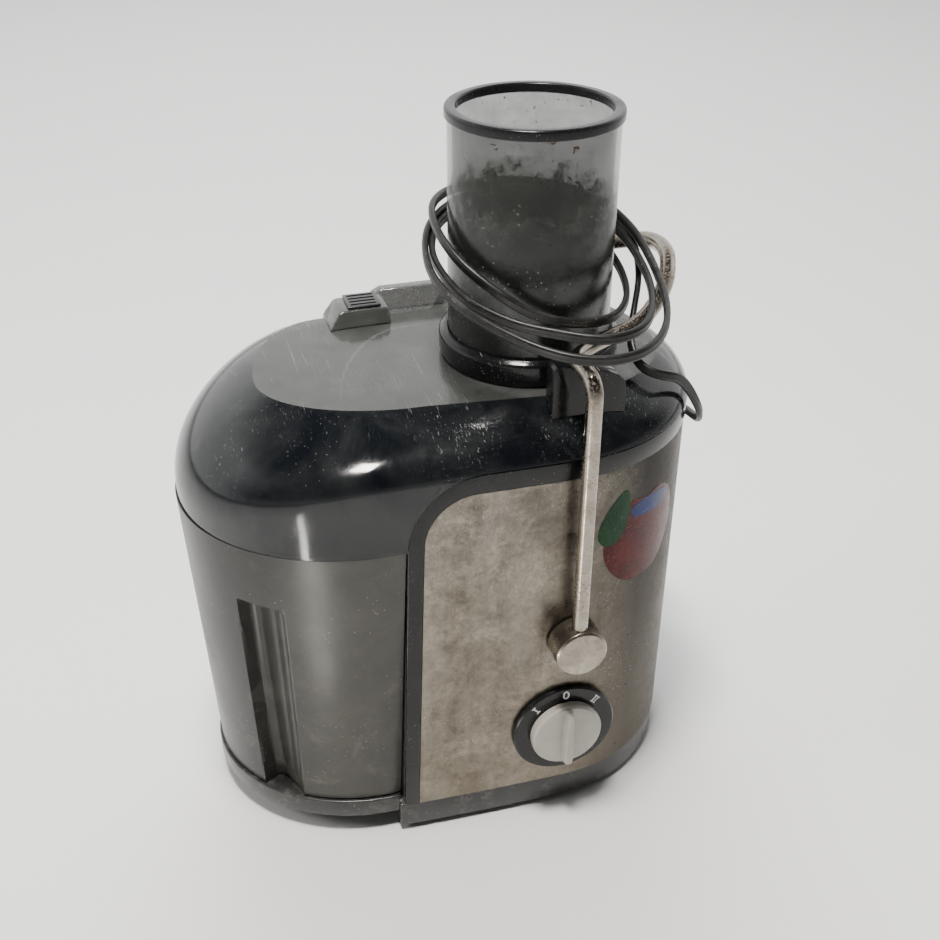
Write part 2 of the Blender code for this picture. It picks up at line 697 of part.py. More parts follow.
chute = turned(
    "feed_chute",
    [
        (CHUTE_R, CHUTE_TOP - 1.6 * MM),
        (CHUTE_R, 196 * MM),
        (CHUTE_R - CHUTE_WALL, 196 * MM),
        (CHUTE_R - CHUTE_WALL, CHUTE_TOP - 1.6 * MM),
    ],
    steps=32,
)
settle(chute, SMOKE)

rim_in = CHUTE_R - CHUTE_WALL - 1.6 * MM
rim = turned(
    "chute_rim",
    [
        (RIM_R - 0.9 * MM, CHUTE_TOP),
        (RIM_R, CHUTE_TOP - 0.9 * MM),
        (RIM_R, CHUTE_TOP - RIM_H),
        (CHUTE_R + GAP, CHUTE_TOP - RIM_H),
        (CHUTE_R + GAP, CHUTE_TOP - 1.3 * MM),
        (CHUTE_R - CHUTE_WALL - GAP, CHUTE_TOP - 1.3 * MM),
        (CHUTE_R - CHUTE_WALL - GAP, CHUTE_TOP - RIM_H),
        (rim_in, CHUTE_TOP - RIM_H + 0.6 * MM),
        (rim_in, CHUTE_TOP - 0.9 * MM),
    ],
    steps=32,
)
settle(rim, BLACK)

# ---- juice bowl and filter ---------------------------------------------
BOWL_FLOOR = DECK_Z + GAP
bowl = turned(
    "juice_bowl",
    [
        (75.6 * MM, 204 * MM),
        (75.6 * MM, BOWL_FLOOR + 1 * MM),
        (74.6 * MM, BOWL_FLOOR),
        (20.2 * MM, BOWL_FLOOR),
        (20.2 * MM, BOWL_FLOOR + 14 * MM),
        (22.2 * MM, BOWL_FLOOR + 14 * MM),
        (22.2 * MM, BOWL_FLOOR + 2.2 * MM),
        (73.4 * MM, BOWL_FLOOR + 2.2 * MM),
        (73.4 * MM, 204 * MM),
    ],
    steps=30,
)
spout = rod("spout_outer", 11.0 * MM, 36 * MM, (0, 0, 0), axis="X", sides=28, cutter=True)
spout_c = 91 * MM
spout.location = (spout_c * math.cos(SPOUT_TURN), spout_c * math.sin(SPOUT_TURN), 160.4 * MM)
spout.rotation_euler = (0, 0, SPOUT_TURN)
neck = block("spout_neck", (2.6 * MM, 23.4 * MM, 60 * MM), (0, 0, 0), cutter=True, turn=SPOUT_TURN)
neck_r = 77.6 * MM
neck.location = (neck_r * math.cos(SPOUT_TURN), neck_r * math.sin(SPOUT_TURN), 190.2 * MM)
stem = block("spout_stem", (5.0 * MM, 20.0 * MM, 40 * MM), (0, 0, 0), cutter=True, turn=SPOUT_TURN)
stem.location = (75.4 * MM * math.cos(SPOUT_TURN), 75.4 * MM * math.sin(SPOUT_TURN), 180.0 * MM)
boolean(bowl, spout, "UNION")
boolean(bowl, neck, "UNION")
boolean(bowl, stem, "UNION")
spout_bore = rod("spout_bore", 8.8 * MM, 60 * MM, (0, 0, 0), axis="X", sides=28, cutter=True)
spout_bore.location = (96 * MM * math.cos(SPOUT_TURN), 96 * MM * math.sin(SPOUT_TURN), 160.4 * MM)
spout_bore.rotation_euler = (0, 0, SPOUT_TURN)
boolean(bowl, spout_bore)
settle(bowl, SMOKE)

hub = turned(
    "basket_hub",
    [
        (0, 177.6 * MM),
        (6 * MM, 177.6 * MM),
        (7 * MM, BASKET_LOW + 2.2 * MM),
        (49.0 * MM, BASKET_LOW + 2.2 * MM),
        (49.0 * MM, BASKET_LOW),
        (9.6 * MM, BASKET_LOW - 3 * MM),
        (9.6 * MM, 160.0 * MM),
        (7.2 * MM, 160.0 * MM),
        (7.2 * MM, BASKET_LOW - 2 * MM),
        (0, BASKET_LOW - 2 * MM),
    ],
    steps=24,
)
settle(hub, NATURAL)

disc = turned(
    "grater_disc",
    [
        (47.0 * MM, BASKET_LOW + 3.4 * MM),
        (47.0 * MM, BASKET_LOW + 2.5 * MM),
        (7.4 * MM, BASKET_LOW + 2.5 * MM),
        (7.4 * MM, BASKET_LOW + 3.4 * MM),
    ],
    steps=24,
)
for k in range(8):
    turn = math.radians(45 * k)
    r = (18 + 8 * (k % 3)) * MM
    tooth = block(f"tooth_{k}", (3 * MM, 6 * MM, 2.2 * MM), (r * math.cos(turn), r * math.sin(turn), BASKET_LOW + 4.0 * MM), cutter=True, turn=turn + 0.4)
    boolean(disc, tooth, "UNION")
settle(disc, STEEL)

mesh_wall = turned(
    "filter_screen",
    [
        (65.4 * MM, 219.6 * MM),
        (49.6 * MM, BASKET_LOW + 0.6 * MM),
        (49.3 * MM, BASKET_LOW + 1.8 * MM),
        (64.6 * MM, 219.6 * MM),
    ],
    steps=28,
)
settle(mesh_wall, STEEL)

basket_rim = turned(
    "basket_rim",
    [
        (67.6 * MM, 222.4 * MM),
        (68.4 * MM, 221.6 * MM),
        (68.4 * MM, 217.0 * MM),
        (66.0 * MM, 217.0 * MM),
        (66.0 * MM, 220.2 * MM),
        (62.2 * MM, 220.2 * MM),
        (62.2 * MM, 222.4 * MM),
    ],
    steps=28,
)
settle(basket_rim, NATURAL)

# ---- motor and drive ----------------------------------------------------
shaft = rod("motor_shaft", 4.0 * MM, 140 * MM, (0, 0, 29 * MM + 70 * MM), sides=20)
settle(shaft, STEEL)


def ring(name, r_out, r_in, z0, z1, mat, steps=20):
    return settle(
        turned(name, [(r_out, z1), (r_out, z0), (r_in, z0), (r_in, z1)], steps=steps), mat
    )


BORE = 4.0 * MM + GAP
ring("drive_coupling", 6.9 * MM, BORE, 151 * MM, 168.5 * MM, NATURAL, 24)
ring("shaft_seal", 16.6 * MM, 7.4 * MM, 145.5 * MM, 150.5 * MM, RUBBER)
ring("bearing_upper", 9.0 * MM, BORE, 131 * MM, 138 * MM, STEEL)
ring("bearing_lower", 9.0 * MM, BORE, 34 * MM, 41 * MM, STEEL)
ring("cooling_fan", 28 * MM, BORE, 116 * MM, 119 * MM, BLACK)
fan = bpy.data.objects["cooling_fan"]
for k in range(8):
    a = math.radians(45 * k)
    boolean(fan, block(f"blade_{k}", (16 * MM, 1.6 * MM, 6.5 * MM), (19 * MM * math.cos(a), 19 * MM * math.sin(a), 121.6 * MM), cutter=True, turn=a), "UNION")
ring("armature", 17.6 * MM, BORE, 66 * MM, 106 * MM, COPPER)
ring("commutator", 10.5 * MM, BORE, 48 * MM, 60 * MM, COPPER)
stator = ring("stator", 34 * MM, 18.4 * MM, 68 * MM, 104 * MM, STEEL, 40)
for y in (-1, 1):
    boolean(stator, block(f"stator_flat_{y}", (100 * MM, 20 * MM, 60 * MM), (0, y * 39 * MM, 86 * MM), cutter=True))

for name, z, zb in (("motor_bracket_upper", 134.5, 131.0), ("motor_bracket_lower", 37.5, 34.0)):
    bracket = block(name, (96 * MM, 22 * MM, 6.4 * MM), (0, 0, z * MM), bevel=1.0 * MM, segments=1)
    boolean(bracket, rod(name + "_bore", 9.3 * MM, 30 * MM, (0, 0, z * MM), sides=32, cutter=True))
    settle(bracket, STEEL)
for k, (x, y) in enumerate(((-41, 0), (41, 0))):
    settle(rod(f"motor_post_{k + 1}", 3.2 * MM, 130.8 * MM - 41.3 * MM, (x * MM, y * MM, 86.05 * MM), sides=16), STEEL)
    settle(rod(f"motor_damper_{k + 1}", 7.0 * MM, 33.8 * MM - 19.4 * MM, (x * MM, y * MM, (33.8 + 19.7) / 2 * MM), sides=20), RUBBER)
for side, name in ((-1, "brush_holder_left"), (1, "brush_holder_right")):
    holder = block(name, (14 * MM, 9 * MM, 9 * MM), (side * 18.0 * MM, 0, 54 * MM), bevel=0.8 * MM, segments=1)
    settle(holder, NATURAL)

# ---- speed switch and knob ---------------------------------------------
switch = block("rotary_switch", (30 * MM, 18 * MM, 30 * MM), (DIAL_X, -61 * MM, DIAL_Z), bevel=1.5 * MM, segments=1)
settle(switch, BLACK)
knob_shaft = rod("knob_shaft", 3.0 * MM, 13.8 * MM, (DIAL_X, -77.2 * MM, DIAL_Z), axis="Y", sides=16)
settle(knob_shaft, STEEL)

dial = turned(
    "speed_dial",
    [
        (DIAL_R - 0.8 * MM, 2.4 * MM),
        (DIAL_R, 1.6 * MM),
        (DIAL_R, 0),
        (4.2 * MM, 0),
        (4.2 * MM, 2.4 * MM),
    ],
    centre=(DIAL_X, -END_R - GAP, DIAL_Z),
    axis="Y",
    steps=32,
)
settle(dial, BLACK)

knob = turned(
    "speed_knob",
    [
        (0, 5.4 * MM),
        (KNOB_R - 2.2 * MM, 5.4 * MM),
        (KNOB_R - 0.6 * MM, 4.6 * MM),
        (KNOB_R, 3.2 * MM),
        (KNOB_R, 0),
        (0, 0),
    ],
    centre=(DIAL_X, -86.0 * MM + GAP, DIAL_Z),
    axis="Y",
    steps=28,
)
knob.location = (DIAL_X, -END_R - GAP - 2.4 * MM - GAP, DIAL_Z)
ridge = block("knob_ridge", (6.2 * MM, 7.0 * MM, 2 * KNOB_R - 1.0 * MM), (DIAL_X, -END_R - 2.9 * MM - 6.2 * MM, DIAL_Z), cutter=True)
boolean(knob, ridge, "UNION")
settle(knob, CREAM)

# ---- locking bail -------------------------------------------------------
PIVOT = (0, 0, PIVOT_Z)


def bail_half(side):
    """Centreline of half the bail, from its pivot cap up and round the chute to the middle plane."""
    corners = [
        (0, side * ARM_Y, PIVOT_Z + 6.0 * MM),
        (0, side * ARM_Y, BAIL_CROSS_Z),
        (0.0 * MM, side * 72 * MM, BAIL_CROSS_Z),
    ]
    path = smooth_path(corners, 9.5 * MM, per_bend=5)[:-1]
    sweep = smooth_curve(
        [
            (0.0 * MM, side * 76 * MM, BAIL_CROSS_Z),
            (0.4 * MM, side * 66 * MM, BAIL_CROSS_Z),
            (14 * MM, side * 55.5 * MM, BAIL_CROSS_Z + 0.6 * MM),
            (38 * MM, side * 47.5 * MM, BAIL_CROSS_Z + 4.4 * MM),
            (57 * MM, side * 31 * MM, BAIL_CROSS_Z + 12.4 * MM),
            (66.5 * MM, side * 13 * MM, BAIL_BULGE_Z - 1.4 * MM),
            (BAIL_BULGE_X, 0, BAIL_BULGE_Z),
        ],
        14,
    )
    return path + sweep


front = bail_half(-1)
rear = bail_half(1)
bail = tube("bail_rod", front + list(reversed(rear))[1:], ROD_R, resolution=2, centre=PIVOT)
settle(bail, CHROME)

for side, tag in ((-1, "front"), (1, "rear")):
    face = -1 if side < 0 else 1
    cap = turned(
        f"bail_cap_{tag}",
        [
            (0, 14.6 * MM),
            (12.3 * MM, 14.6 * MM),
            (13.3 * MM, 13.6 * MM),
            (13.3 * MM, 0.8 * MM),
            (12.6 * MM, 0),
            (0, 0),
        ],
        centre=(0, 0, 0),
        steps=32,
        axis="Y",
    )
    cap.location = (0, side * (END_R + GAP), PIVOT_Z)
    if side > 0:
        cap.rotation_euler = (math.radians(-90), 0, 0)
    boolean(cap, tube(f"cap_socket_{tag}", [(0, side * ARM_Y, PIVOT_Z + 5.6 * MM), (0, side * ARM_Y, PIVOT_Z + 30 * MM)], ROD_R + GAP, resolution=3, centre=PIVOT, cutter=True))
    settle(cap, CHROME)
    pin = rod(f"bail_pin_{tag}", 3.0 * MM, 15.0 * MM, (0, side * (END_R - 7.6 * MM + 0.1 * MM), PIVOT_Z), axis="Y", sides=20)
    settle(pin, STEEL)
    bush_low = END_R - 3.0 * MM - BODY_WALL - 3.2 * MM
    bush = turned(
        f"bail_bush_{tag}",
        [(5.7 * MM, 8.2 * MM), (5.7 * MM, 2.4 * MM), (9.0 * MM, 2.4 * MM), (9.0 * MM, 0.4 * MM), (3.3 * MM, 0.4 * MM), (3.3 * MM, 8.2 * MM)],
        steps=28,
        axis="Y",
    )
    bush.location = (0, side * (bush_low - 0.1 * MM), PIVOT_Z)
    if side > 0:
        bush.rotation_euler = (math.radians(-90), 0, 0)
    settle(bush, BLACK)

cam = rod("interlock_cam", 8.0 * MM, 5.0 * MM, (0, -63.0 * MM, PIVOT_Z), axis="Y", sides=32)
boolean(cam, block("cam_flat", (20 * MM, 20 * MM, 10 * MM), (0, -63 * MM, PIVOT_Z - 11.0 * MM), cutter=True))
settle(cam, BLACK)
micro = block("interlock_switch", (20 * MM, 7 * MM, 11 * MM), (0, -63 * MM, PIVOT_Z - 16.0 * MM), bevel=0.6 * MM, segments=1)
settle(micro, BLACK)

# ---- electrics ----------------------------------------------------------
board = block("circuit_board", (1.6 * MM, 54 * MM, 60 * MM), (-72 * MM, 0, 80 * MM))
settle(board, ((0.02, 0.12, 0.04), 0.5, 0.0))

# ---- mains cord ---------------------------------------------------------
CORD_R = 2.5 * MM
gland_dir = Vector((math.cos(cord_turn), math.sin(cord_turn), 0))
gland = turned(
    "cord_gland",
    [
        (CORD_R + GAP, 34 * MM),
        (CORD_R + 1.2 * MM, 34 * MM),
        (CORD_R + 1.7 * MM, 24 * MM),
        (CORD_R + 1.7 * MM, 8 * MM),
        (6.4 * MM, 7.2 * MM),
        (6.4 * MM, 4.2 * MM),
        (CORD_R + 1.6 * MM, 4.2 * MM),
        (CORD_R + 1.6 * MM, 0),
        (CORD_R + GAP, 0),
    ],
    steps=20,
)
gland.location = gland_dir * 74.4 * MM + Vector((0, 0, 40 * MM))
gland.rotation_euler = gland_dir.to_track_quat("Z", "Y").to_euler()
settle(gland, RUBBER)


def polar(r, degrees, z):
    a = math.radians(degrees)
    return (r * MM * math.cos(a), r * MM * math.sin(a), z * MM)


# the lead: out of the gland, up the round end behind the spout, round the end
# under the bail's arch, over the lid's shoulder and up into the winding
LEAD_ROUTE = [
    polar(109.2, 40, 40),
    polar(115, 40.5, 41.5),
    polar(121, 41.5, 50),
    polar(119, 43, 66),
    polar(108, 45, 86),
    polar(95.5, 46.5, 110),
    polar(88.5, 47, 138),
    polar(86.6, 44, 163),
    polar(86.8, 33, 181),
    polar(87.2, 16, 190),
    polar(87.6, -4, 195),
    polar(88.6, -20, 203),
    polar(88.4, -30, 216),
    polar(82.6, -35, 231),
    (59.5 * MM, -50.5 * MM, 240.0 * MM),
    (49.5 * MM, -52.5 * MM, 243.6 * MM),
    (41.5 * MM, -45.0 * MM, 246.2 * MM),
    (41.5 * MM, -32.0 * MM, 254.0 * MM),
    (47.5 * MM, -20.5 * MM, 266.0 * MM),
    (52.4 * MM, -14.0 * MM, 279.6 * MM),
]
lead = tube("mains_lead", smooth_curve(LEAD_ROUTE, 36), CORD_R, resolution=2)
settle(lead, BLACK)

# the winding round the chute: above the bail's front crossing, rising to the back
COIL_C = Vector((1.2, -17.0, 292.0)) * MM
COIL_A, COIL_B = 51.0 * MM, 66.0 * MM
COIL_MEAN = (COIL_A + COIL_B) / 2
w, h = 4.4 * MM, 4.6 * MM
coil = turned(
    "cord_coil",
    [
        (COIL_MEAN + w * math.cos(math.radians(90 - 45 * k)), h * math.sin(math.radians(90 - 45 * k)))
        for k in range(8)
    ],
    centre=COIL_C,
    steps=28,
)
coil.scale = (COIL_A / COIL_MEAN, COIL_B / COIL_MEAN, 1)
coil.rotation_euler = (math.atan(0.21), math.atan(0.03), 0)
settle(coil, BLACK)

# the loose end: from the back of the winding over the lid's rear shoulder to the plug
PLUG_X, PLUG_Y = -30 * MM, 87.6 * MM
TAIL_ROUTE = [
    (-17.0 * MM, 51.8 * MM, 297.6 * MM),
    (-17.0 * MM, 56.0 * MM, 284.0 * MM),
    (-17.0 * MM, 62.0 * MM, 266.6 * MM),
    (-17.2 * MM, 70.6 * MM, 253.0 * MM),
    (-19.4 * MM, 80.0 * MM, 241.0 * MM),
    (-23.6 * MM, 86.8 * MM, 228.5 * MM),
    (-28.4 * MM, 88.4 * MM, 215.0 * MM),
    (PLUG_X, PLUG_Y, 201.4 * MM),
]
tail = tube("mains_tail", smooth_curve(TAIL_ROUTE, 16), CORD_R, resolution=2)
settle(tail, BLACK)

PLUG_TOP = 201.0 * MM


def plug_section(z, half_w, half_t, corner):
    pts = []
    for k in range(16):
        a = 2 * math.pi * k / 16
        c, s = math.cos(a), math.sin(a)
        pts.append(
            (
                PLUG_X + half_w * math.copysign(abs(c) ** corner, c),
                PLUG_Y + half_t * math.copysign(abs(s) ** corner, s),
                z,
            )
        )
    return pts


plug = loft(
    "mains_plug",
    [
        plug_section(PLUG_TOP - 42 * MM, 17.0 * MM, 6.6 * MM, 0.55),
        plug_section(PLUG_TOP - 40.8 * MM, 17.8 * MM, 7.2 * MM, 0.55),
        plug_section(PLUG_TOP - 30 * MM, 16.6 * MM, 7.2 * MM, 0.6),
        plug_section(PLUG_TOP - 20 * MM, 11.0 * MM, 6.4 * MM, 0.7),
        plug_section(PLUG_TOP - 14 * MM, 6.4 * MM, 5.2 * MM, 0.9),
        plug_section(PLUG_TOP, 3.6 * MM, 3.3 * MM, 1.0),
    ],
)
settle(plug, BLACK)
for k, side in enumerate((-1, 1)):
    pin = rod(f"plug_pin_{k + 1}", 2.0 * MM, 19 * MM, (PLUG_X + side * 9.3 * MM, PLUG_Y, PLUG_TOP - 42.3 * MM - 9.5 * MM), sides=14, bevel=0.8 * MM)
    settle(pin, STEEL)

# move everything from the chute's axis to the object's own origin
bpy.context.view_layer.update()
for obj in list(parts.objects) + list(cutters.objects):
    obj.location.x += ORIGIN_X
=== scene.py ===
import math

import bmesh
import bpy
from mathutils import Matrix, Vector


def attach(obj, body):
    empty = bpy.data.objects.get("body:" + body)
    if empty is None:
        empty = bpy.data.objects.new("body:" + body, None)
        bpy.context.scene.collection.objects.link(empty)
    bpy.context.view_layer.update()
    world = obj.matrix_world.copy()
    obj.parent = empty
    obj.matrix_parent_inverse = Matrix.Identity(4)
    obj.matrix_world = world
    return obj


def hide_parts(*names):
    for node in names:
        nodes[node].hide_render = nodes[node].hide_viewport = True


for startup in ("Cube", "Light", "Camera"):
    if startup in bpy.data.objects:
        bpy.data.objects.remove(bpy.data.objects[startup], do_unlink=True)

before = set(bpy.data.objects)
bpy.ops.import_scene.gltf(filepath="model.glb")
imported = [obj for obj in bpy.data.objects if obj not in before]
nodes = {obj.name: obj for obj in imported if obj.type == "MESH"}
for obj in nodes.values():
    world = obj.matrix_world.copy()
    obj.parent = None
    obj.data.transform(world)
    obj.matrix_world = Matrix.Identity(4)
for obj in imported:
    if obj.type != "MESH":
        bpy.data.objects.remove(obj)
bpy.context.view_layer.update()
scene = bpy.context.scene

# Shapes below are laid out in millimetres round the chute's axis, which stands OX from the origin.
OX = 39.5


def mm(p):
    return Vector(((p[0] + OX) / 1000, p[1] / 1000, p[2] / 1000))


# ---- camera -------------------------------------------------------------
camera_data = bpy.data.cameras.new("camera")
camera_data.lens = 46.5548
camera_data.sensor_width = 36.0
camera_data.clip_start = 0.02
camera = bpy.data.objects.new("camera", camera_data)
scene.collection.objects.link(camera)
camera.matrix_world = Matrix(
    (
        (0.959793746, 0.147877455, -0.238596350, -0.143657658),
        (-0.280693740, 0.513607740, -0.810813248, -0.520564198),
        (0.002643928, 0.845185995, 0.534465730, 0.515201211),
        (0, 0, 0, 1),
    )
)
scene.camera = camera


# ---- node materials -----------------------------------------------------
class Mat:
    """A Principled material built from procedural nodes in object space."""

    def __init__(self, name, metallic=0.0, roughness=0.4, specular=0.5, coat=0.0, coat_rough=0.05, ior=1.5):
        self.m = bpy.data.materials.new(name)
        self.m.use_nodes = True
        self.t = self.m.node_tree
        self.b = self.t.nodes["Principled BSDF"]
        self.set("Metallic", metallic)
        self.set("Roughness", roughness)
        self.set("Specular IOR Level", specular)
        self.set("IOR", ior)
        if coat:
            self.set("Coat Weight", coat)
            self.set("Coat Roughness", coat_rough)
        self.co = self.t.nodes.new("ShaderNodeTexCoord").outputs["Object"]

    def put(self, socket, value):
        if isinstance(value, bpy.types.NodeSocket):
            self.t.links.new(value, socket)
        elif isinstance(value, (tuple, list)):
            v = list(value)
            if len(v) == 3 and len(socket.default_value) == 4:
                v.append(1.0)
            socket.default_value = v
        else:
            socket.default_value = value

    def set(self, name, value):
        self.put(self.b.inputs[name], value)

    def mapped(self, scale=(1, 1, 1), turn=(0, 0, 0), move=(0, 0, 0)):
        n = self.t.nodes.new("ShaderNodeMapping")
        self.put(n.inputs["Vector"], self.co)
        n.inputs["Scale"].default_value = scale
        n.inputs["Rotation"].default_value = turn
        n.inputs["Location"].default_value = move
        return n.outputs[0]

    def noise(self, scale, detail=4.0, rough=0.55, distort=0.0, vec=None):
        n = self.t.nodes.new("ShaderNodeTexNoise")
        self.put(n.inputs["Vector"], vec if vec is not None else self.co)
        n.inputs["Scale"].default_value = scale
        n.inputs["Detail"].default_value = detail
        n.inputs["Roughness"].default_value = rough
        n.inputs["Distortion"].default_value = distort
        return n.outputs["Fac"]

    def cells(self, scale, vec=None, feature="F1"):
        n = self.t.nodes.new("ShaderNodeTexVoronoi")
        n.feature = feature
        self.put(n.inputs["Vector"], vec if vec is not None else self.co)
        n.inputs["Scale"].default_value = scale
        return n.outputs["Distance"]

    def ramp(self, fac, lo, hi, a=0.0, b=1.0):
        """Value that goes from a at lo to b at hi, clamped."""
        n = self.t.nodes.new("ShaderNodeMapRange")
        n.clamp = True
        self.put(n.inputs["Value"], fac)
        n.inputs["From Min"].default_value = lo
        n.inputs["From Max"].default_value = hi
        n.inputs["To Min"].default_value = a
        n.inputs["To Max"].default_value = b
        return n.outputs[0]

    def op(self, kind, a, b=0.0):
        n = self.t.nodes.new("ShaderNodeMath")
        n.operation = kind
        n.use_clamp = False
        self.put(n.inputs[0], a)
        self.put(n.inputs[1], b)
        return n.outputs[0]

    def mix(self, fac, a, b):
        n = self.t.nodes.new("ShaderNodeMix")
        n.data_type = "RGBA"
        self.put(n.inputs[0], fac)
        self.put(n.inputs[6], a)
        self.put(n.inputs[7], b)
        return n.outputs[2]

    def part(self, axis):
        """One coordinate of object space, in metres."""
        n = self.t.nodes.new("ShaderNodeSeparateXYZ")
        self.put(n.inputs[0], self.co)
        return n.outputs["XYZ".index(axis)]

    def bump(self, height, strength=0.2, distance=0.0005):
        n = self.t.nodes.new("ShaderNodeBump")
        n.inputs["Strength"].default_value = strength
        n.inputs["Distance"].default_value = distance
        self.put(n.inputs["Height"], height)
        self.t.links.new(n.outputs[0], self.b.inputs["Normal"])

    def scratches(self, seed=0.0, fine=700.0, thin=0.735, patch=0.5):
        """Thin crossing scuffs, gathered in patches."""
        total = None
        for k, turn in enumerate(((0.3, 0.5, 0.2), (1.2, -0.4, 0.9), (-0.7, 0.9, -1.1), (0.1, 1.3, 0.6))):
            vec = self.mapped((fine * 2.6, 26.0, fine * 1.3), turn, (seed + 3.1 * k, 1.7 * k, seed))
            line = self.ramp(self.noise(1.0, 1.0, 0.4, 0.35, vec), thin, thin + 0.05)
            total = line if total is None else self.op("MAXIMUM", total, line)
        where = self.ramp(self.noise(22.0, 3.0, 0.6, 0.4, self.mapped(move=(seed, seed, 1))), patch, patch + 0.16)
        return self.op("MULTIPLY", total, where)

    def specks(self, scale=260.0, size=0.16, patch=0.5, seed=0.0):
        """Small round dots of dust."""
        dot = self.ramp(self.cells(scale, self.mapped(move=(seed, 0, seed))), size * 0.6, size, 1.0, 0.0)
        where = self.ramp(self.noise(30.0, 3.0, 0.6, 0.0, self.mapped(move=(0, seed, 2))), patch, patch + 0.1)
        return self.op("MULTIPLY", dot, where)


def gloss_black(name, base=(0.005, 0.0055, 0.006), rough=0.1, seed=0.0, wear=1.0, spec=0.26, coat=0.08):
    m = Mat(name, roughness=rough, specular=spec, coat=coat, coat_rough=0.08)
    dust = m.ramp(m.noise(38.0, 6.0, 0.65, 0.3, m.mapped(move=(seed, 0, 0))), 0.42, 0.78, 0.0, 0.5 * wear)
    scuff = m.scratches(seed, 620.0, 0.735, 0.5)
    spots = m.specks(330.0, 0.14, 0.5, seed)
    colour = m.mix(dust, base, (0.026, 0.027, 0.026))
    colour = m.mix(m.op("MULTIPLY", scuff, 0.5 * wear), colour, (0.28, 0.28, 0.27))
    colour = m.mix(m.op("MULTIPLY", spots, 0.5 * wear), colour, (0.3, 0.29, 0.27))
    m.set("Base Color", colour)
    m.set("Roughness", m.op("ADD", m.ramp(m.noise(55.0, 5.0, 0.6), 0.35, 0.75, rough, rough + 0.22 * wear), m.op("MULTIPLY", scuff, 0.3)))
    m.bump(m.op("ADD", m.noise(900.0, 2.0), m.op("MULTIPLY", scuff, 2.0)), 0.06, 0.0003)
    return m.m


def smoke_lid():
    m = Mat("smoke_lid", roughness=0.1, specular=0.4, coat=0.2, coat_rough=0.05)
    grime = m.ramp(m.noise(26.0, 7.0, 0.68, 0.5), 0.4, 0.8)
    scuff = m.scratches(4.0, 560.0, 0.72, 0.46)
    spots = m.specks(430.0, 0.15, 0.49, 2.0)
    colour = m.mix(grime, (0.004, 0.005, 0.007), (0.022, 0.024, 0.024))
    # painted sky reflection with some dust: what faces up is lightened grey in patches
    up = m.t.nodes.new("ShaderNodeSeparateXYZ")
    m.t.links.new(m.t.nodes["Texture Coordinate"].outputs["Normal"], up.inputs[0])
    painted_reflection_and_dust = m.op("MULTIPLY", m.ramp(up.outputs["Z"], 0.986, 0.9990), m.ramp(m.noise(48.0, 7.0, 0.7, 0.5, m.mapped(move=(2, 5, 0))), 0.30, 0.62, 0.55, 1.0))
    colour = m.mix(painted_reflection_and_dust, colour, (0.062, 0.064, 0.060))
    # painted reflection: the vent house and rib above the lid top are lightened grey in patches
    raised_painted_reflection = m.op("MULTIPLY", m.ramp(m.part("Z"), 0.2402, 0.2410), m.ramp(m.noise(90.0, 6.0, 0.7, 0.4), 0.3, 0.7, 0.75, 1.0))
    colour = m.mix(raised_painted_reflection, colour, (0.085, 0.088, 0.083))
    colour = m.mix(m.op("MULTIPLY", scuff, 0.34), colour, (0.30, 0.31, 0.31))
    colour = m.mix(m.op("MULTIPLY", spots, 0.34), colour, (0.30, 0.30, 0.28))
    m.set("Base Color", colour)
    rough = m.op("ADD", m.ramp(grime, 0.0, 1.0, 0.08, 0.24), m.op("MULTIPLY", painted_reflection_and_dust, 0.10))
    m.set("Roughness", m.op("ADD", rough, m.op("MULTIPLY", scuff, 0.3)))
    m.set("Alpha", m.op("MAXIMUM", m.ramp(grime, 0.0, 1.0, 0.80, 0.93), scuff))
    m.bump(m.op("ADD", m.noise(700.0, 2.0), m.op("MULTIPLY", scuff, 2.5)), 0.07, 0.0003)
    return m.m


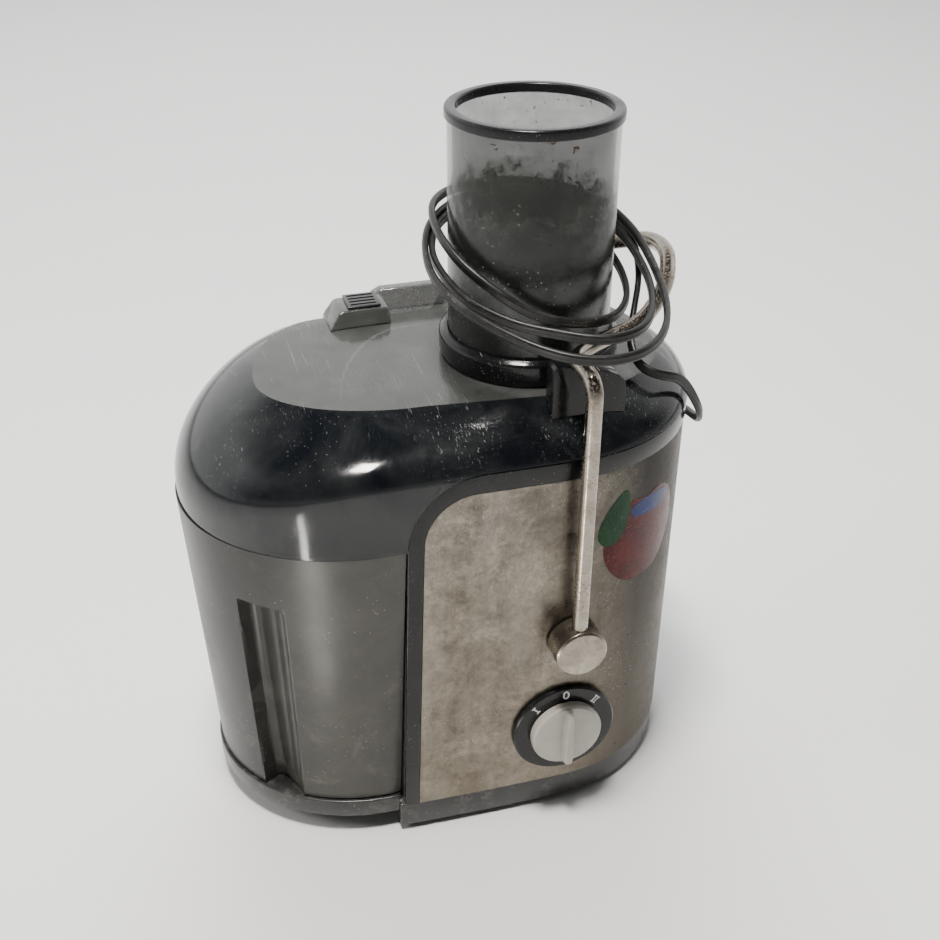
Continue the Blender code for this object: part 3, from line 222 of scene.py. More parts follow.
def smoke_chute():
    m = Mat("smoke_chute", roughness=0.12)
    height = m.part("Z")
    # dried juice and pulp: dense low down, ending in a ragged tide line
    wander = m.op("MULTIPLY", m.op("SUBTRACT", m.noise(34.0, 6.0, 0.7, 0.8), 0.5), 0.040)
    level = m.op("ADD", height, wander)
    stain = m.ramp(level, 0.322, 0.300)
    deep = m.ramp(level, 0.326, 0.290)
    tide = m.op("MULTIPLY", m.ramp(level, 0.327, 0.320), m.ramp(level, 0.306, 0.318))
    blots = m.ramp(m.noise(150.0, 7.0, 0.8, 0.7), 0.49, 0.57)
    spots = m.specks(300.0, 0.16, 0.50, 5.0)
    scuff = m.scratches(9.0, 640.0, 0.74, 0.5)
    film = m.ramp(m.noise(60.0, 6.0, 0.7, 0.4), 0.4, 0.75)
    colour = m.mix(film, (0.024, 0.027, 0.023), (0.050, 0.054, 0.046))
    colour = m.mix(m.op("MULTIPLY", stain, 0.75), colour, (0.012, 0.014, 0.012))
    colour = m.mix(m.op("MULTIPLY", m.op("MULTIPLY", stain, blots), 0.8), colour, (0.012, 0.014, 0.014))
    colour = m.mix(m.op("MULTIPLY", spots, 0.6), colour, (0.34, 0.32, 0.27))
    crust = m.op("MULTIPLY", m.ramp(m.noise(210.0, 6.0, 0.75, 0.5, m.mapped(move=(6, 0, 0))), 0.60, 0.66), m.ramp(height, 0.338, 0.352))
    colour = m.mix(m.op("MULTIPLY", crust, 0.9), colour, (0.070, 0.034, 0.014))
    colour = m.mix(m.op("MULTIPLY", scuff, 0.4), colour, (0.30, 0.30, 0.29))
    m.set("Base Color", colour)
    alpha = m.op("ADD", m.ramp(film, 0.0, 1.0, 0.42, 0.54), m.op("MULTIPLY", stain, 0.18))
    alpha = m.op("ADD", alpha, m.op("MULTIPLY", deep, 0.34))
    alpha = m.op("ADD", alpha, m.op("MULTIPLY", m.op("MULTIPLY", tide, blots), 0.42))
    alpha = m.op("ADD", alpha, m.op("MULTIPLY", m.op("MULTIPLY", stain, blots), 0.22))
    alpha = m.op("MINIMUM", m.op("MAXIMUM", m.op("MAXIMUM", alpha, crust), m.op("MULTIPLY", spots, 0.9)), 0.985)
    m.set("Alpha", alpha)
    m.set("Roughness", m.op("ADD", m.ramp(film, 0.0, 1.0, 0.08, 0.22), m.op("MULTIPLY", stain, 0.1)))
    m.bump(m.op("ADD", m.noise(420.0, 3.0), m.op("MULTIPLY", m.op("MULTIPLY", stain, blots), 2.0)), 0.08, 0.0004)
    return m.m


def steel_panel():
    m = Mat("panel_steel", metallic=1.0, roughness=0.3, specular=0.2)
    cloud = m.op("ADD", m.op("MULTIPLY", m.ramp(m.noise(26.0, 8.0, 0.74, 0.8), 0.40, 0.60), 0.6), m.op("MULTIPLY", m.ramp(m.noise(75.0, 7.0, 0.75, 0.5), 0.40, 0.62), 0.4))
    fine = m.ramp(m.noise(270.0, 7.0, 0.8, 0.5), 0.40, 0.58)
    runs = m.ramp(m.noise(1.0, 5.0, 0.6, 0.5, m.mapped((90.0, 90.0, 16.0))), 0.42, 0.7)
    grain = m.noise(1.0, 3.0, 0.6, 0.0, m.mapped((60.0, 60.0, 5200.0)))
    scuff = m.scratches(12.0, 600.0, 0.73, 0.5)
    low = m.ramp(m.part("Z"), 0.20, 0.02)
    colour = m.mix(cloud, (0.090, 0.080, 0.066), (0.31, 0.275, 0.225))
    colour = m.mix(m.op("MULTIPLY", m.op("SUBTRACT", 1.0, fine), 0.62), colour, (0.070, 0.064, 0.055))
    colour = m.mix(m.op("MULTIPLY", runs, 0.16), colour, (0.55, 0.52, 0.46))
    # painted shade and dark reflection: the right end of the steel is darkened and made less metallic
    side = m.ramp(m.part("X"), 0.030, 0.078)
    colour = m.mix(m.op("MULTIPLY", side, 0.93), colour, (0.020, 0.020, 0.021))
    colour = m.mix(m.op("MULTIPLY", low, 0.22), colour, (0.34, 0.29, 0.22))
    colour = m.mix(m.op("MULTIPLY", scuff, 0.5), colour, (0.85, 0.84, 0.80))
    m.set("Base Color", colour)
    m.set("Specular Tint", (0.42, 0.40, 0.37, 1.0))
    m.set("Metallic", m.op("SUBTRACT", 1.0, m.op("MULTIPLY", side, 0.55)))
    rough = m.op("ADD", m.ramp(cloud, 0.0, 1.0, 0.24, 0.36), m.op("MULTIPLY", fine, 0.10))
    m.set("Roughness", m.op("ADD", rough, m.op("MULTIPLY", scuff, 0.15)))
    m.bump(m.op("ADD", m.op("MULTIPLY", grain, 0.6), m.op("MULTIPLY", m.noise(300.0, 4.0, 0.7), 0.5)), 0.10, 0.0002)
    return m.m


def bin_grey():
    m = Mat("bin_grey", roughness=0.36, specular=0.3)
    cloud = m.ramp(m.noise(24.0, 6.0, 0.65, 0.4), 0.35, 0.75)
    dusty = m.op("MULTIPLY", m.ramp(m.noise(44.0, 8.0, 0.75, 0.6, m.mapped(move=(3, 0, 0))), 0.55, 0.72), m.ramp(m.part("Z"), 0.13, 0.03, 0.12, 0.7))
    spots = m.specks(280.0, 0.15, 0.5, 7.0)
    scuff = m.scratches(15.0, 520.0, 0.74, 0.5)
    colour = m.mix(cloud, (0.009, 0.0095, 0.009), (0.020, 0.0205, 0.019))
    # painted light: from x = -0.108 m rightwards the bin is lightened grey in patches
    film = m.op("MULTIPLY", m.ramp(m.op("ADD", m.part("X"), m.op("MULTIPLY", m.noise(18.0, 4.0, 0.6), 0.03)), -0.108, -0.072), m.ramp(m.noise(60.0, 7.0, 0.7, 0.5), 0.30, 0.70, 0.6, 1.0))
    colour = m.mix(film, colour, (0.070, 0.067, 0.058))
    colour = m.mix(dusty, colour, (0.17, 0.155, 0.13))
    colour = m.mix(m.op("MULTIPLY", scuff, 0.3), colour, (0.30, 0.29, 0.27))
    colour = m.mix(m.op("MULTIPLY", spots, 0.4), colour, (0.34, 0.32, 0.28))
    m.set("Base Color", colour)
    m.set("Roughness", m.op("ADD", m.ramp(cloud, 0.0, 1.0, 0.30, 0.42), m.op("MULTIPLY", dusty, 0.25)))
    m.bump(m.op("ADD", m.noise(1500.0, 2.0), m.noise(140.0, 3.0)), 0.05, 0.0003)
    return m.m


def worn_chrome(name="chrome", rust=1.0, seed=0.0, rough=0.14):
    m = Mat(name, metallic=1.0, roughness=rough)
    pits = m.ramp(m.noise(760.0, 5.0, 0.75, 0.3, m.mapped(move=(seed, 0, 0))), 0.52, 0.60)
    where = m.ramp(m.noise(36.0, 4.0, 0.65, 0.5, m.mapped(move=(0, seed, 0))), 0.46, 0.62)
    spoil = m.op("MULTIPLY", m.op("MULTIPLY", pits, where), rust)
    haze = m.ramp(m.noise(90.0, 6.0, 0.7, 0.4), 0.35, 0.7)
    colour = m.mix(haze, (0.37, 0.34, 0.295), (0.20, 0.17, 0.135))
    colour = m.mix(m.op("MULTIPLY", spoil, 0.75), colour, (0.13, 0.07, 0.04))
    m.set("Base Color", colour)
    m.set("Metallic", m.op("SUBTRACT", 1.0, m.op("MULTIPLY", spoil, 0.5)))
    m.set("Roughness", m.op("ADD", m.ramp(haze, 0.0, 1.0, rough, rough + 0.16), m.op("MULTIPLY", spoil, 0.4)))
    m.bump(m.op("ADD", m.op("MULTIPLY", spoil, -0.3), m.op("MULTIPLY", m.noise(500.0, 3.0), 0.4)), 0.12, 0.0003)
    return m.m


def plain_steel(name, colour=(0.55, 0.54, 0.52), rough=0.3):
    m = Mat(name, metallic=1.0, roughness=rough)
    haze = m.ramp(m.noise(120.0, 5.0, 0.7), 0.35, 0.7)
    m.set("Base Color", m.mix(haze, colour, tuple(c * 0.72 for c in colour)))
    m.set("Roughness", m.ramp(haze, 0.0, 1.0, rough, rough + 0.15))
    m.bump(m.noise(1.0, 2.0, 0.5, 0.0, m.mapped((400.0, 400.0, 3000.0))), 0.08, 0.0002)
    return m.m


def moulded(name, a, b, rough=0.42, grain=1400.0, dirt=(0.12, 0.11, 0.095), dirty=0.5, coat=0.0, seed=0.0):
    m = Mat(name, roughness=rough, coat=coat, coat_rough=0.15)
    cloud = m.ramp(m.noise(40.0, 6.0, 0.65, 0.3, m.mapped(move=(seed, 0, 0))), 0.38, 0.72)
    dust = m.op("MULTIPLY", m.ramp(m.noise(85.0, 8.0, 0.75, 0.5, m.mapped(move=(0, seed, 0))), 0.52, 0.72), dirty)
    colour = m.mix(cloud, a, b)
    colour = m.mix(dust, colour, dirt)
    colour = m.mix(m.op("MULTIPLY", m.specks(300.0, 0.15, 0.5, seed), 0.6 * dirty), colour, tuple(min(1.0, c * 2.4) for c in dirt))
    m.set("Base Color", colour)
    m.set("Roughness", m.op("ADD", m.ramp(cloud, 0.0, 1.0, rough - 0.05, rough + 0.06), m.op("MULTIPLY", dust, 0.2)))
    m.bump(m.noise(grain, 2.0), 0.08, 0.0003)
    return m.m


def cord_sheath():
    m = Mat("cord_sheath", roughness=0.42, specular=0.34)
    wear = m.ramp(m.noise(70.0, 7.0, 0.7, 0.4), 0.45, 0.75)
    spots = m.specks(420.0, 0.17, 0.48, 3.0)
    colour = m.mix(wear, (0.009, 0.009, 0.009), (0.034, 0.034, 0.032))
    colour = m.mix(m.op("MULTIPLY", spots, 0.5), colour, (0.30, 0.29, 0.27))
    m.set("Base Color", colour)
    m.set("Roughness", m.ramp(wear, 0.0, 1.0, 0.36, 0.55))
    m.bump(m.noise(1300.0, 3.0), 0.12, 0.0003)
    return m.m


def strainer_mesh():
    m = Mat("strainer_mesh", metallic=1.0, roughness=0.3)
    holes = m.ramp(m.cells(640.0), 0.30, 0.40, 1.0, 0.0)
    m.set("Base Color", m.mix(holes, (0.56, 0.55, 0.53), (0.03, 0.03, 0.03)))
    m.set("Roughness", m.ramp(m.noise(90.0, 5.0), 0.3, 0.7, 0.24, 0.42))
    m.bump(holes, 0.3, 0.0004)
    return m.m


def printed(name, a, b, c, seed=0.0):
    """Glossy printed film with creases and rubbed spots."""
    m = Mat(name, roughness=0.34, metallic=0.4, specular=0.18)
    shade = m.ramp(m.noise(55.0, 5.0, 0.6, 0.5, m.mapped(move=(seed, 0, 0))), 0.35, 0.7)
    rubbed = m.op("MULTIPLY", m.ramp(m.noise(190.0, 7.0, 0.75, 0.6, m.mapped(move=(0, seed, 0))), 0.56, 0.66), 0.55)
    colour = m.mix(shade, a, b)
    colour = m.mix(rubbed, colour, c)
    colour = m.mix(m.op("MULTIPLY", m.scratches(20.0 + seed, 520.0, 0.71, 0.42), 0.3), colour, (0.30, 0.28, 0.26))
    m.set("Base Color", colour)
    m.set("Roughness", m.ramp(shade, 0.0, 1.0, 0.16, 0.34))
    m.bump(m.noise(160.0, 4.0, 0.6), 0.06, 0.0004)
    return m.m


SMOKE_LID = smoke_lid()
SMOKE_CHUTE = smoke_chute()
GLOSS = gloss_black("gloss_black", seed=1.0)
GLOSS_RIM = gloss_black("rim_black", (0.007, 0.007, 0.009), 0.2, 6.0, 0.7)
PANEL = steel_panel()
BIN = bin_grey()
CHROME = worn_chrome()
CAP = worn_chrome("cap_steel", 0.25, 5.0, 0.22)
STEEL = plain_steel("plain_steel")
BLACK = moulded("matt_black", (0.012, 0.012, 0.012), (0.024, 0.024, 0.024), 0.42, dirt=(0.10, 0.095, 0.085), dirty=0.45)
BASE = moulded("base_black", (0.014, 0.014, 0.014), (0.032, 0.031, 0.030), 0.34, dirt=(0.15, 0.14, 0.12), dirty=0.7, coat=0.15, seed=4.0)
CREAM = moulded("knob_cream", (0.36, 0.345, 0.30), (0.46, 0.44, 0.385), 0.36, 900.0, (0.34, 0.29, 0.22), 0.35, 0.2, 2.0)
NATURAL = moulded("natural_white", (0.40, 0.40, 0.37), (0.50, 0.50, 0.46), 0.4, 900.0, (0.26, 0.22, 0.15), 0.5, seed=6.0)
RUBBER = moulded("soft_black", (0.012, 0.012, 0.012), (0.030, 0.030, 0.030), 0.7, 800.0, dirty=0.5, seed=8.0)
COPPER = plain_steel("copper", (0.62, 0.30, 0.16), 0.35)
BOARD = moulded("board_green", (0.02, 0.10, 0.035), (0.03, 0.15, 0.05), 0.45, seed=9.0)
CORD = cord_sheath()
MESH = strainer_mesh()
MARK = moulded("mark_white", (0.66, 0.66, 0.64), (0.76, 0.76, 0.74), 0.45, 900.0, (0.4, 0.38, 0.34), 0.3, seed=3.0)
RED = printed("film_red", (0.030, 0.0018, 0.0018), (0.075, 0.005, 0.0045), (0.015, 0.007, 0.007), 1.0)
GREEN = printed("film_green", (0.0025, 0.018, 0.007), (0.006, 0.040, 0.012), (0.009, 0.013, 0.009), 2.0)
BLUE = printed("film_blue", (0.006, 0.013, 0.065), (0.010, 0.024, 0.12), (0.10, 0.11, 0.15), 3.0)


# ---- mesh helpers -------------------------------------------------------
def make(name, verts, faces, sharp=35.0, weld=1e-7):
    mesh = bpy.data.meshes.new(name)
    bm = bmesh.new()
    made = [bm.verts.new(mm(v)) for v in verts]
    for f in faces:
        try:
            bm.faces.new([made[i] for i in f])
        except ValueError:
            pass
    bmesh.ops.remove_doubles(bm, verts=bm.verts, dist=weld)
    bmesh.ops.recalc_face_normals(bm, faces=bm.faces)
    bm.to_mesh(mesh)
    bm.free()
    obj = bpy.data.objects.new(name, mesh)
    scene.collection.objects.link(obj)
    smooth(obj, sharp)
    return obj


def smooth(obj, sharp=35.0):
    obj.data.shade_smooth()
    if sharp:
        obj.data.set_sharp_from_angle(angle=math.radians(sharp))


def rings(name, sections, closed_ends=True, sharp=35.0):
    """A solid through sections of equal point count."""
    n = len(sections[0])
    verts = [p for s in sections for p in s]
    faces = []
    for k in range(len(sections) - 1):
        for i in range(n):
            j = (i + 1) % n
            faces.append((k * n + i, k * n + j, (k + 1) * n + j, (k + 1) * n + i))
    if closed_ends:
        faces.append(tuple(reversed(range(n))))
        last = (len(sections) - 1) * n
        faces.append(tuple(range(last, last + n)))
    return make(name, verts, faces, sharp)


def fillet(points, radius, n=4):
    """A closed 2-D outline with each corner rounded. radius is one number or one per corner."""
    out = []
    count = len(points)
    for i in range(count):
        r = radius[i] if isinstance(radius, (list, tuple)) else radius
        at = Vector(points[i])
        before = Vector(points[i - 1]) - at
        after = Vector(points[(i + 1) % count]) - at
        if r <= 0:
            out.append(tuple(at))
            continue
        angle = before.angle(after)
        reach = min(r / max(math.tan(angle / 2), 1e-6), before.length * 0.48, after.length * 0.48)
        a, b = at + before.normalized() * reach, at + after.normalized() * reach
        for k in range(n + 1):
            t = k / n
            out.append(tuple(a * (1 - t) ** 2 + at * 2 * t * (1 - t) + b * t * t))
    return out


def lathe(name, profile, steps=96, centre=(0, 0, 0), axis="Z", side=1, sharp=35.0):
    """Turns a closed (radius, height) outline. axis Y with side -1 faces the front."""
    verts, faces = [], []
    n = len(profile)
    for k in range(steps):
        a = 2 * math.pi * k / steps
        c, s = math.cos(a), math.sin(a)
        for r, h in profile:
            if axis == "Z":
                verts.append((centre[0] + r * c, centre[1] + r * s, centre[2] + h))
            else:
                verts.append((centre[0] + r * c, centre[1] + side * h, centre[2] + r * s))
    for k in range(steps):
        m = (k + 1) % steps
        for i in range(n):
            j = (i + 1) % n
            if profile[i][0] < 1e-6 and profile[j][0] < 1e-6:
                continue
            faces.append((k * n + i, k * n + j, m * n + j, m * n + i))
    return make(name, verts, faces, sharp, 1e-6)


def extrude(name, outline, low, high, facing="Z", sharp=35.0):
    """A flat outline made a slab. facing Y takes (x, z) points, and low and high are y."""
    n = len(outline)
    if facing == "Z":
        verts = [(x, y, low) for x, y in outline] + [(x, y, high) for x, y in outline]
    else:
        verts = [(x, low, z) for x, z in outline] + [(x, high, z) for x, z in outline]
    faces = [tuple(range(n)), tuple(reversed(range(n, 2 * n)))]
    for i in range(n):
        j = (i + 1) % n
        faces.append((i, j, n + j, n + i))
    return make(name, verts, faces, sharp)


def bake(obj):
    """Applies the modifiers of obj to its mesh."""
    graph = bpy.context.evaluated_depsgraph_get()
    graph.update()
    mesh = bpy.data.meshes.new_from_object(obj.evaluated_get(graph))
    old = obj.data
    obj.modifiers.clear()
    obj.data = mesh
    bpy.data.meshes.remove(old)
    return obj


def cut(obj, other, operation="DIFFERENCE", keep=False):
    mod = obj.modifiers.new("cut", "BOOLEAN")
    mod.operation = operation
    mod.solver = "EXACT"
    mod.object = other
    bake(obj)
    if not keep:
        bpy.data.objects.remove(other, do_unlink=True)
    if not obj.data.polygons:
        raise RuntimeError("a cut left nothing of " + obj.name)
    return obj


def bevel(obj, width, segments=3, angle=40.0, sharp=35.0):
    mod = obj.modifiers.new("bevel", "BEVEL")
    mod.width = width / 1000
    mod.segments = segments
    mod.limit_method = "ANGLE"
    mod.angle_limit = math.radians(angle)
    mod.harden_normals = False
    bake(obj)
    smooth(obj, sharp)
    return obj


def dress(obj, material, body, replaces=()):
    obj.data.materials.clear()
    obj.data.materials.append(material)
    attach(obj, body)
    if replaces:
        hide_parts(*replaces)
    return obj


def curve_through(knots, step):
    """Evenly spaced points along a Catmull-Rom curve, in millimetres."""
    knots = [Vector(k) for k in knots]
    ends = [knots[0] * 2 - knots[1]] + knots + [knots[-1] * 2 - knots[-2]]
    fine = []
    for i in range(1, len(ends) - 2):
        p0, p1, p2, p3 = ends[i - 1 : i + 3]
        for k in range(30):
            t = k / 30
            fine.append(0.5 * (2 * p1 + (p2 - p0) * t + (2 * p0 - 5 * p1 + 4 * p2 - p3) * t * t + (3 * p1 - p0 - 3 * p2 + p3) * t**3))
    fine.append(knots[-1])
    lengths = [0.0]
    for a, b in zip(fine, fine[1:]):
        lengths.append(lengths[-1] + (b - a).length)
    count = max(4, int(round(lengths[-1] / step)) + 1)
    out, j = [], 0
    for i in range(count):
        want = lengths[-1] * i / (count - 1)
        while j < len(fine) - 2 and lengths[j + 1] < want:
            j += 1
        span = max(lengths[j + 1] - lengths[j], 1e-12)
        out.append(fine[j].lerp(fine[j + 1], min(1.0, (want - lengths[j]) / span)))
    return out


def relaxed(points, times):
    """The same line with its kinks evened out, ends kept."""
    pts = [p.copy() for p in points]
    for _ in range(times):
        new = [pts[0]]
        for a, b, c in zip(pts, pts[1:], pts[2:]):
            new.append(b * 0.5 + (a + c) * 0.25)
        new.append(pts[-1])
        pts = new
    return pts


def sweep(name, path, section, sharp=40.0, scale=None, up=Vector((0, 0, 1)), hold_up=False):
    """A section of (side, up) points carried along a path, with closed round ends."""
    n = len(section)
    verts, faces = [], []
    tangents = []
    for i in range(len(path)):
        a, b = path[max(0, i - 1)], path[min(len(path) - 1, i + 1)]
        tangents.append((b - a).normalized())
    ref = up
    if abs(tangents[0].dot(up)) > 0.9:
        ref = Vector((0, 1, 0))
    normal = (ref - tangents[0] * ref.dot(tangents[0])).normalized()
    for i, (p, t) in enumerate(zip(path, tangents)):
        if i:
            normal = (normal - t * normal.dot(t)).normalized()
            if hold_up:
                want = up - t * up.dot(t)
                if want.length > 0.25:
                    normal = normal.lerp(want.normalized() * (1 if want.dot(normal) >= 0 else -1), 0.12).normalized()
        across = t.cross(normal)
        k = 1.0 if scale is None else scale(i / (len(path) - 1))
        for u, v in section:
            verts.append(tuple(p + across * (u * k) + normal * (v * k)))
    for i in range(len(path) - 1):
        for a in range(n):
            b = (a + 1) % n
            faces.append((i * n + a, i * n + b, (i + 1) * n + b, (i + 1) * n + a))
    faces.append(tuple(reversed(range(n))))
    last = (len(path) - 1) * n
    faces.append(tuple(range(last, last + n)))
    return make(name, verts, faces, sharp)


def round_section(radius, n=20):
    return [(radius * math.cos(2 * math.pi * k / n), radius * math.sin(2 * math.pi * k / n)) for k in range(n)]


def twin_section(half_w, half_t, n=14):
    """Outline of a flat two-core cord: two round cores side by side, with a shallow groove between."""
    pts = []
    core = half_w - half_t
    for k in range(n + 1):
        a = -math.pi / 2 + math.pi * k / n
        pts.append((core + half_t * math.cos(a), half_t * math.sin(a)))
    pts.append((0, half_t * 0.80))
    for k in range(n + 1):
        a = math.pi / 2 + math.pi * k / n
        pts.append((-core + half_t * math.cos(a), half_t * math.sin(a)))
    pts.append((0, -half_t * 0.80))
    # the section's long side stands upright
    return [(v, u) for u, v in pts]


# ---- mains cord ---------------------------------------------------------
def polar(r, degrees, z):
    a = math.radians(degrees)
    return (r * math.cos(a), r * math.sin(a), z)


LEAD = [
    polar(109.2, 40, 40),
    polar(115, 40.5, 41.5),
    polar(121, 41.5, 50),
    polar(119, 43, 66),
    polar(108, 45, 86),
    polar(95.5, 46.5, 110),
    polar(88.5, 47, 138),
    polar(86.6, 44, 163),
    polar(86.8, 33, 181),
    polar(87.2, 16, 190),
    polar(87.6, -4, 195),
    polar(88.6, -20, 203),
    polar(88.4, -30, 216),
    polar(82.6, -35, 231),
    (59.5, -50.5, 240.0),
    (49.5, -52.5, 243.6),
    (41.5, -45.0, 246.2),
    (41.5, -32.0, 254.0),
    (47.5, -20.5, 266.0),
    (52.4, -12.0, 277.6),
]
WINDING = [
    (55.6, 4, 288.0), (52.6, 22, 295.0), (36, 40, 300.5), (10, 47.4, 302.4), (-18, 42.5, 302.0), (-38, 27, 300.0),
    # first pass across the front, against the lid side of the bundle
    (-47.5, 6, 296.4), (-48.6, -14, 292.4), (-43, -38, 287.6), (-28, -57, 283.0), (-11, -68.5, 281.0), (8, -77.5, 279.6), (26, -74, 279.8), (38, -60, 281.0),
    (47.2, -37, 283.6), (50.6, -15, 287.4), (50.6, 4, 291.4), (45.8, 23, 296.0), (35, 41, 301.6), (9, 51.4, 304.6), (-20, 46.4, 304.2), (-41.6, 26, 302.2),
    # second pass, the outermost
    (-51.8, 2, 297.6), (-53.4, -23, 292.0), (-46.4, -46, 286.8), (-34, -66.5, 282.8), (-20, -81, 279.4), (-5, -89.6, 277.4), (12, -91.6, 276.8), (26, -87, 277.6), (38.4, -74.5, 279.6),
    (48.0, -54, 281.8), (53.0, -32, 285.8), (55.2, -9, 291.4), (54.0, 10, 296.2), (47.0, 31, 301.4), (31, 47.0, 305.4), (7, 55.2, 307.8), (-22, 50.2, 308.6), (-41.2, 26.5, 310.4),
    # third pass, drawn tight round the chute
    (-46.4, 1, 307.4), (-41.6, -21.4, 299.2), (-29.2, -37.2, 289.6), (-14.6, -44.8, 280.6), (-1, -47.4, 275.8), (14, -47.2, 273.4), (28, -42.0, 272.4), (38.6, -30, 274.2),
    (44.0, -14, 277.4), (44.8, 3, 282.0), (41.0, 19, 287.6), (32, 32.5, 293.0), (20, 41.6, 297.0), (7, 47.0, 298.6), (-4.6, 51.2, 295.4), (-13.4, 55.2, 286.4),
]
TAIL = [
    (-17.0, 62.0, 266.6),
    (-17.2, 70.6, 253.0),
    (-19.4, 80.0, 241.0),
    (-23.6, 86.8, 228.5),
    (-28.4, 88.4, 215.0),
    (-30.0, 87.6, 201.4),
]
CORD_W, CORD_T = 2.5, 1.55
route = relaxed(curve_through(LEAD + WINDING + TAIL, 1.8), 10)
cord = sweep("mains_cord", route, twin_section(CORD_W, CORD_T), 60.0, hold_up=True)
dress(cord, CORD, "base", ["mains_lead", "mains_tail", "cord_coil"])

PLUG_X, PLUG_Y, PLUG_TOP = -30.0, 87.6, 201.0


def plug_ring(z, half_w, half_t, corner, n=40):
    pts = []
    for k in range(n):
        a = 2 * math.pi * k / n
        c, s = math.cos(a), math.sin(a)
        pts.append((PLUG_X + half_w * math.copysign(abs(c) ** corner, c), PLUG_Y + half_t * math.copysign(abs(s) ** corner, s), z))
    return pts


plug_levels = []
for z, w, t, c in (
    (-42.0, 15.2, 5.2, 0.55), (-41.6, 16.2, 6.2, 0.55), (-40.4, 17.4, 7.0, 0.55), (-38.6, 17.7, 7.2, 0.55), (-34.0, 17.5, 7.2, 0.56), (-29.5, 16.3, 7.2, 0.60),
    (-25.5, 13.8, 6.9, 0.64), (-21.5, 11.4, 6.5, 0.68), (-18.0, 8.6, 5.9, 0.78), (-15.0, 6.6, 5.3, 0.88), (-13.4, 5.7, 4.9, 0.95),
    (-12.4, 5.2, 4.4, 1.0), (-11.6, 5.2, 4.4, 1.0), (-10.8, 4.6, 3.9, 1.0), (-10.0, 4.6, 3.9, 1.0), (-9.2, 5.0, 4.2, 1.0), (-8.2, 5.0, 4.2, 1.0), (-7.4, 4.3, 3.7, 1.0),
    (-6.6, 4.3, 3.7, 1.0), (-5.8, 4.6, 4.0, 1.0), (-4.8, 4.6, 4.0, 1.0), (-4.0, 4.0, 3.6, 1.0), (-3.0, 4.0, 3.6, 1.0), (-2.2, 4.2, 3.7, 1.0), (-0.6, 4.1, 3.6, 1.0), (0.0, 3.5, 3.1, 1.0),
):
    plug_levels.append(plug_ring(PLUG_TOP + z, w, t, c))
plug = rings("mains_plug_body", plug_levels)
dress(plug, RUBBER, "base", ["mains_plug"])
for k, side in enumerate((-1, 1)):
    pin = lathe(
        f"plug_pin_{k + 1}_round",
        fillet([(0, 0), (1.95, 0), (1.95, 19.0), (0, 19.0)], [0, 1.2, 0, 0], 6),
        28,
        (PLUG_X + side * 9.3, PLUG_Y, PLUG_TOP - 61.3),
    )
    dress(pin, STEEL, "base", [f"plug_pin_{k + 1}"])

gland_dir = Vector((math.cos(math.radians(40)), math.sin(math.radians(40)), 0))
gland_profile = [(2.85, 0), (4.0, 0), (4.0, 4.2), (6.4, 4.4), (6.4, 7.0), (4.3, 7.4)]
for k in range(7):
    h = 9.0 + 3.5 * k
    r = 4.15 - 0.06 * k
    gland_profile += [(r, h), (r, h + 1.8), (r - 0.55, h + 2.1), (r - 0.55, h + 3.2)]
gland_profile += [(3.7, 34.0), (2.85, 34.0)]
gland = lathe("cord_gland_ribbed", gland_profile, 40, (-OX, 0, 0))
turn = gland_dir.to_track_quat("Z", "Y").to_matrix().to_4x4()
gland.data.transform(Matrix.Translation(mm((gland_dir.x * 74.4, gland_dir.y * 74.4, 40))) @ turn)
dress(gland, RUBBER, "base", ["cord_gland"])


# ---- plans shared by the shells -----------------------------------------
END_R = 81.5
BODY_LOW, BODY_TOP = 19.4, 221.5
LID_TOP, LID_JOINT, LID_WALL = 240.0, 185.3, 2.2


def egg(nose, nose_centre, nose_half, end_x, end_r, left_n=64, right_n=56, side_n=10):
    pts = []
    for i in range(right_n + 1):
        a = -math.pi / 2 + math.pi * i / right_n
        pts.append((end_x + end_r * math.cos(a), end_r * math.sin(a)))
    for i in range(1, side_n + 1):
        t = i / (side_n + 1)
        pts.append((end_x + (nose_centre - end_x) * t, end_r + (nose_half - end_r) * t))
    for i in range(left_n + 1):
        a = math.pi / 2 + math.pi * i / left_n
        pts.append((nose_centre + (nose_centre - nose) * math.cos(a), nose_half * math.sin(a)))
    for i in range(1, side_n + 1):
        t = i / (side_n + 1)
        pts.append((nose_centre + (end_x - nose_centre) * t, -(nose_half + (end_r - nose_half) * t)))
    return pts


def body_plan(inset, left=-92.0, arc_n=72):
    r = END_R - inset
    pts = []
    for i in range(arc_n + 1):
        a = -math.pi / 2 + math.pi * i / arc_n
        pts.append((r * math.cos(a), r * math.sin(a)))
    for k in range(1, 13):
        t = k / 12
        pts.append((left * t, r - 2.3 * t * t))
    for k in range(12, 0, -1):
        t = k / 12
        pts.append((left * t, -(r - 2.3 * t * t)))
    return pts


def front_shape(grow, low, right=120.0, n=36):
    foot = (-88.2 - grow, BODY_LOW)
    shoulder = (-83.2 - grow, 178.0)
    slope = (shoulder[0] - foot[0]) / (shoulder[1] - foot[1])
    pts = [(foot[0] - slope * (foot[1] - low), low)]
    centre = (-46.0, 184.0)
    rx, rz = abs(-83.0 - grow - centre[0]), BODY_TOP + grow - centre[1]
    for i in range(n + 1):
        a = math.pi - math.pi / 2 * i / n
        pts.append((centre[0] + rx * math.cos(a), centre[1] + rz * math.sin(a)))
    return pts + [(right, BODY_TOP + grow), (right, low)]


def panel_window(grow, low, n=36):
    foot, shoulder = -80.9, -75.4
    slope = (shoulder - foot) / (180.0 - BODY_LOW)
    pts = [(foot - slope * (BODY_LOW - low) - grow, low), (shoulder - grow, 180.0)]
    centre = (-49.0, 184.5)
    rx, rz = abs(-75.2 - grow - centre[0]), 211.5 + grow - centre[1]
    for i in range(1, n + 1):
        a = math.pi - math.pi / 2 * i / n
        pts.append((centre[0] + rx * math.cos(a), centre[1] + rz * math.sin(a)))
    return pts + [(120.0, 211.5 + grow), (120.0, low)]


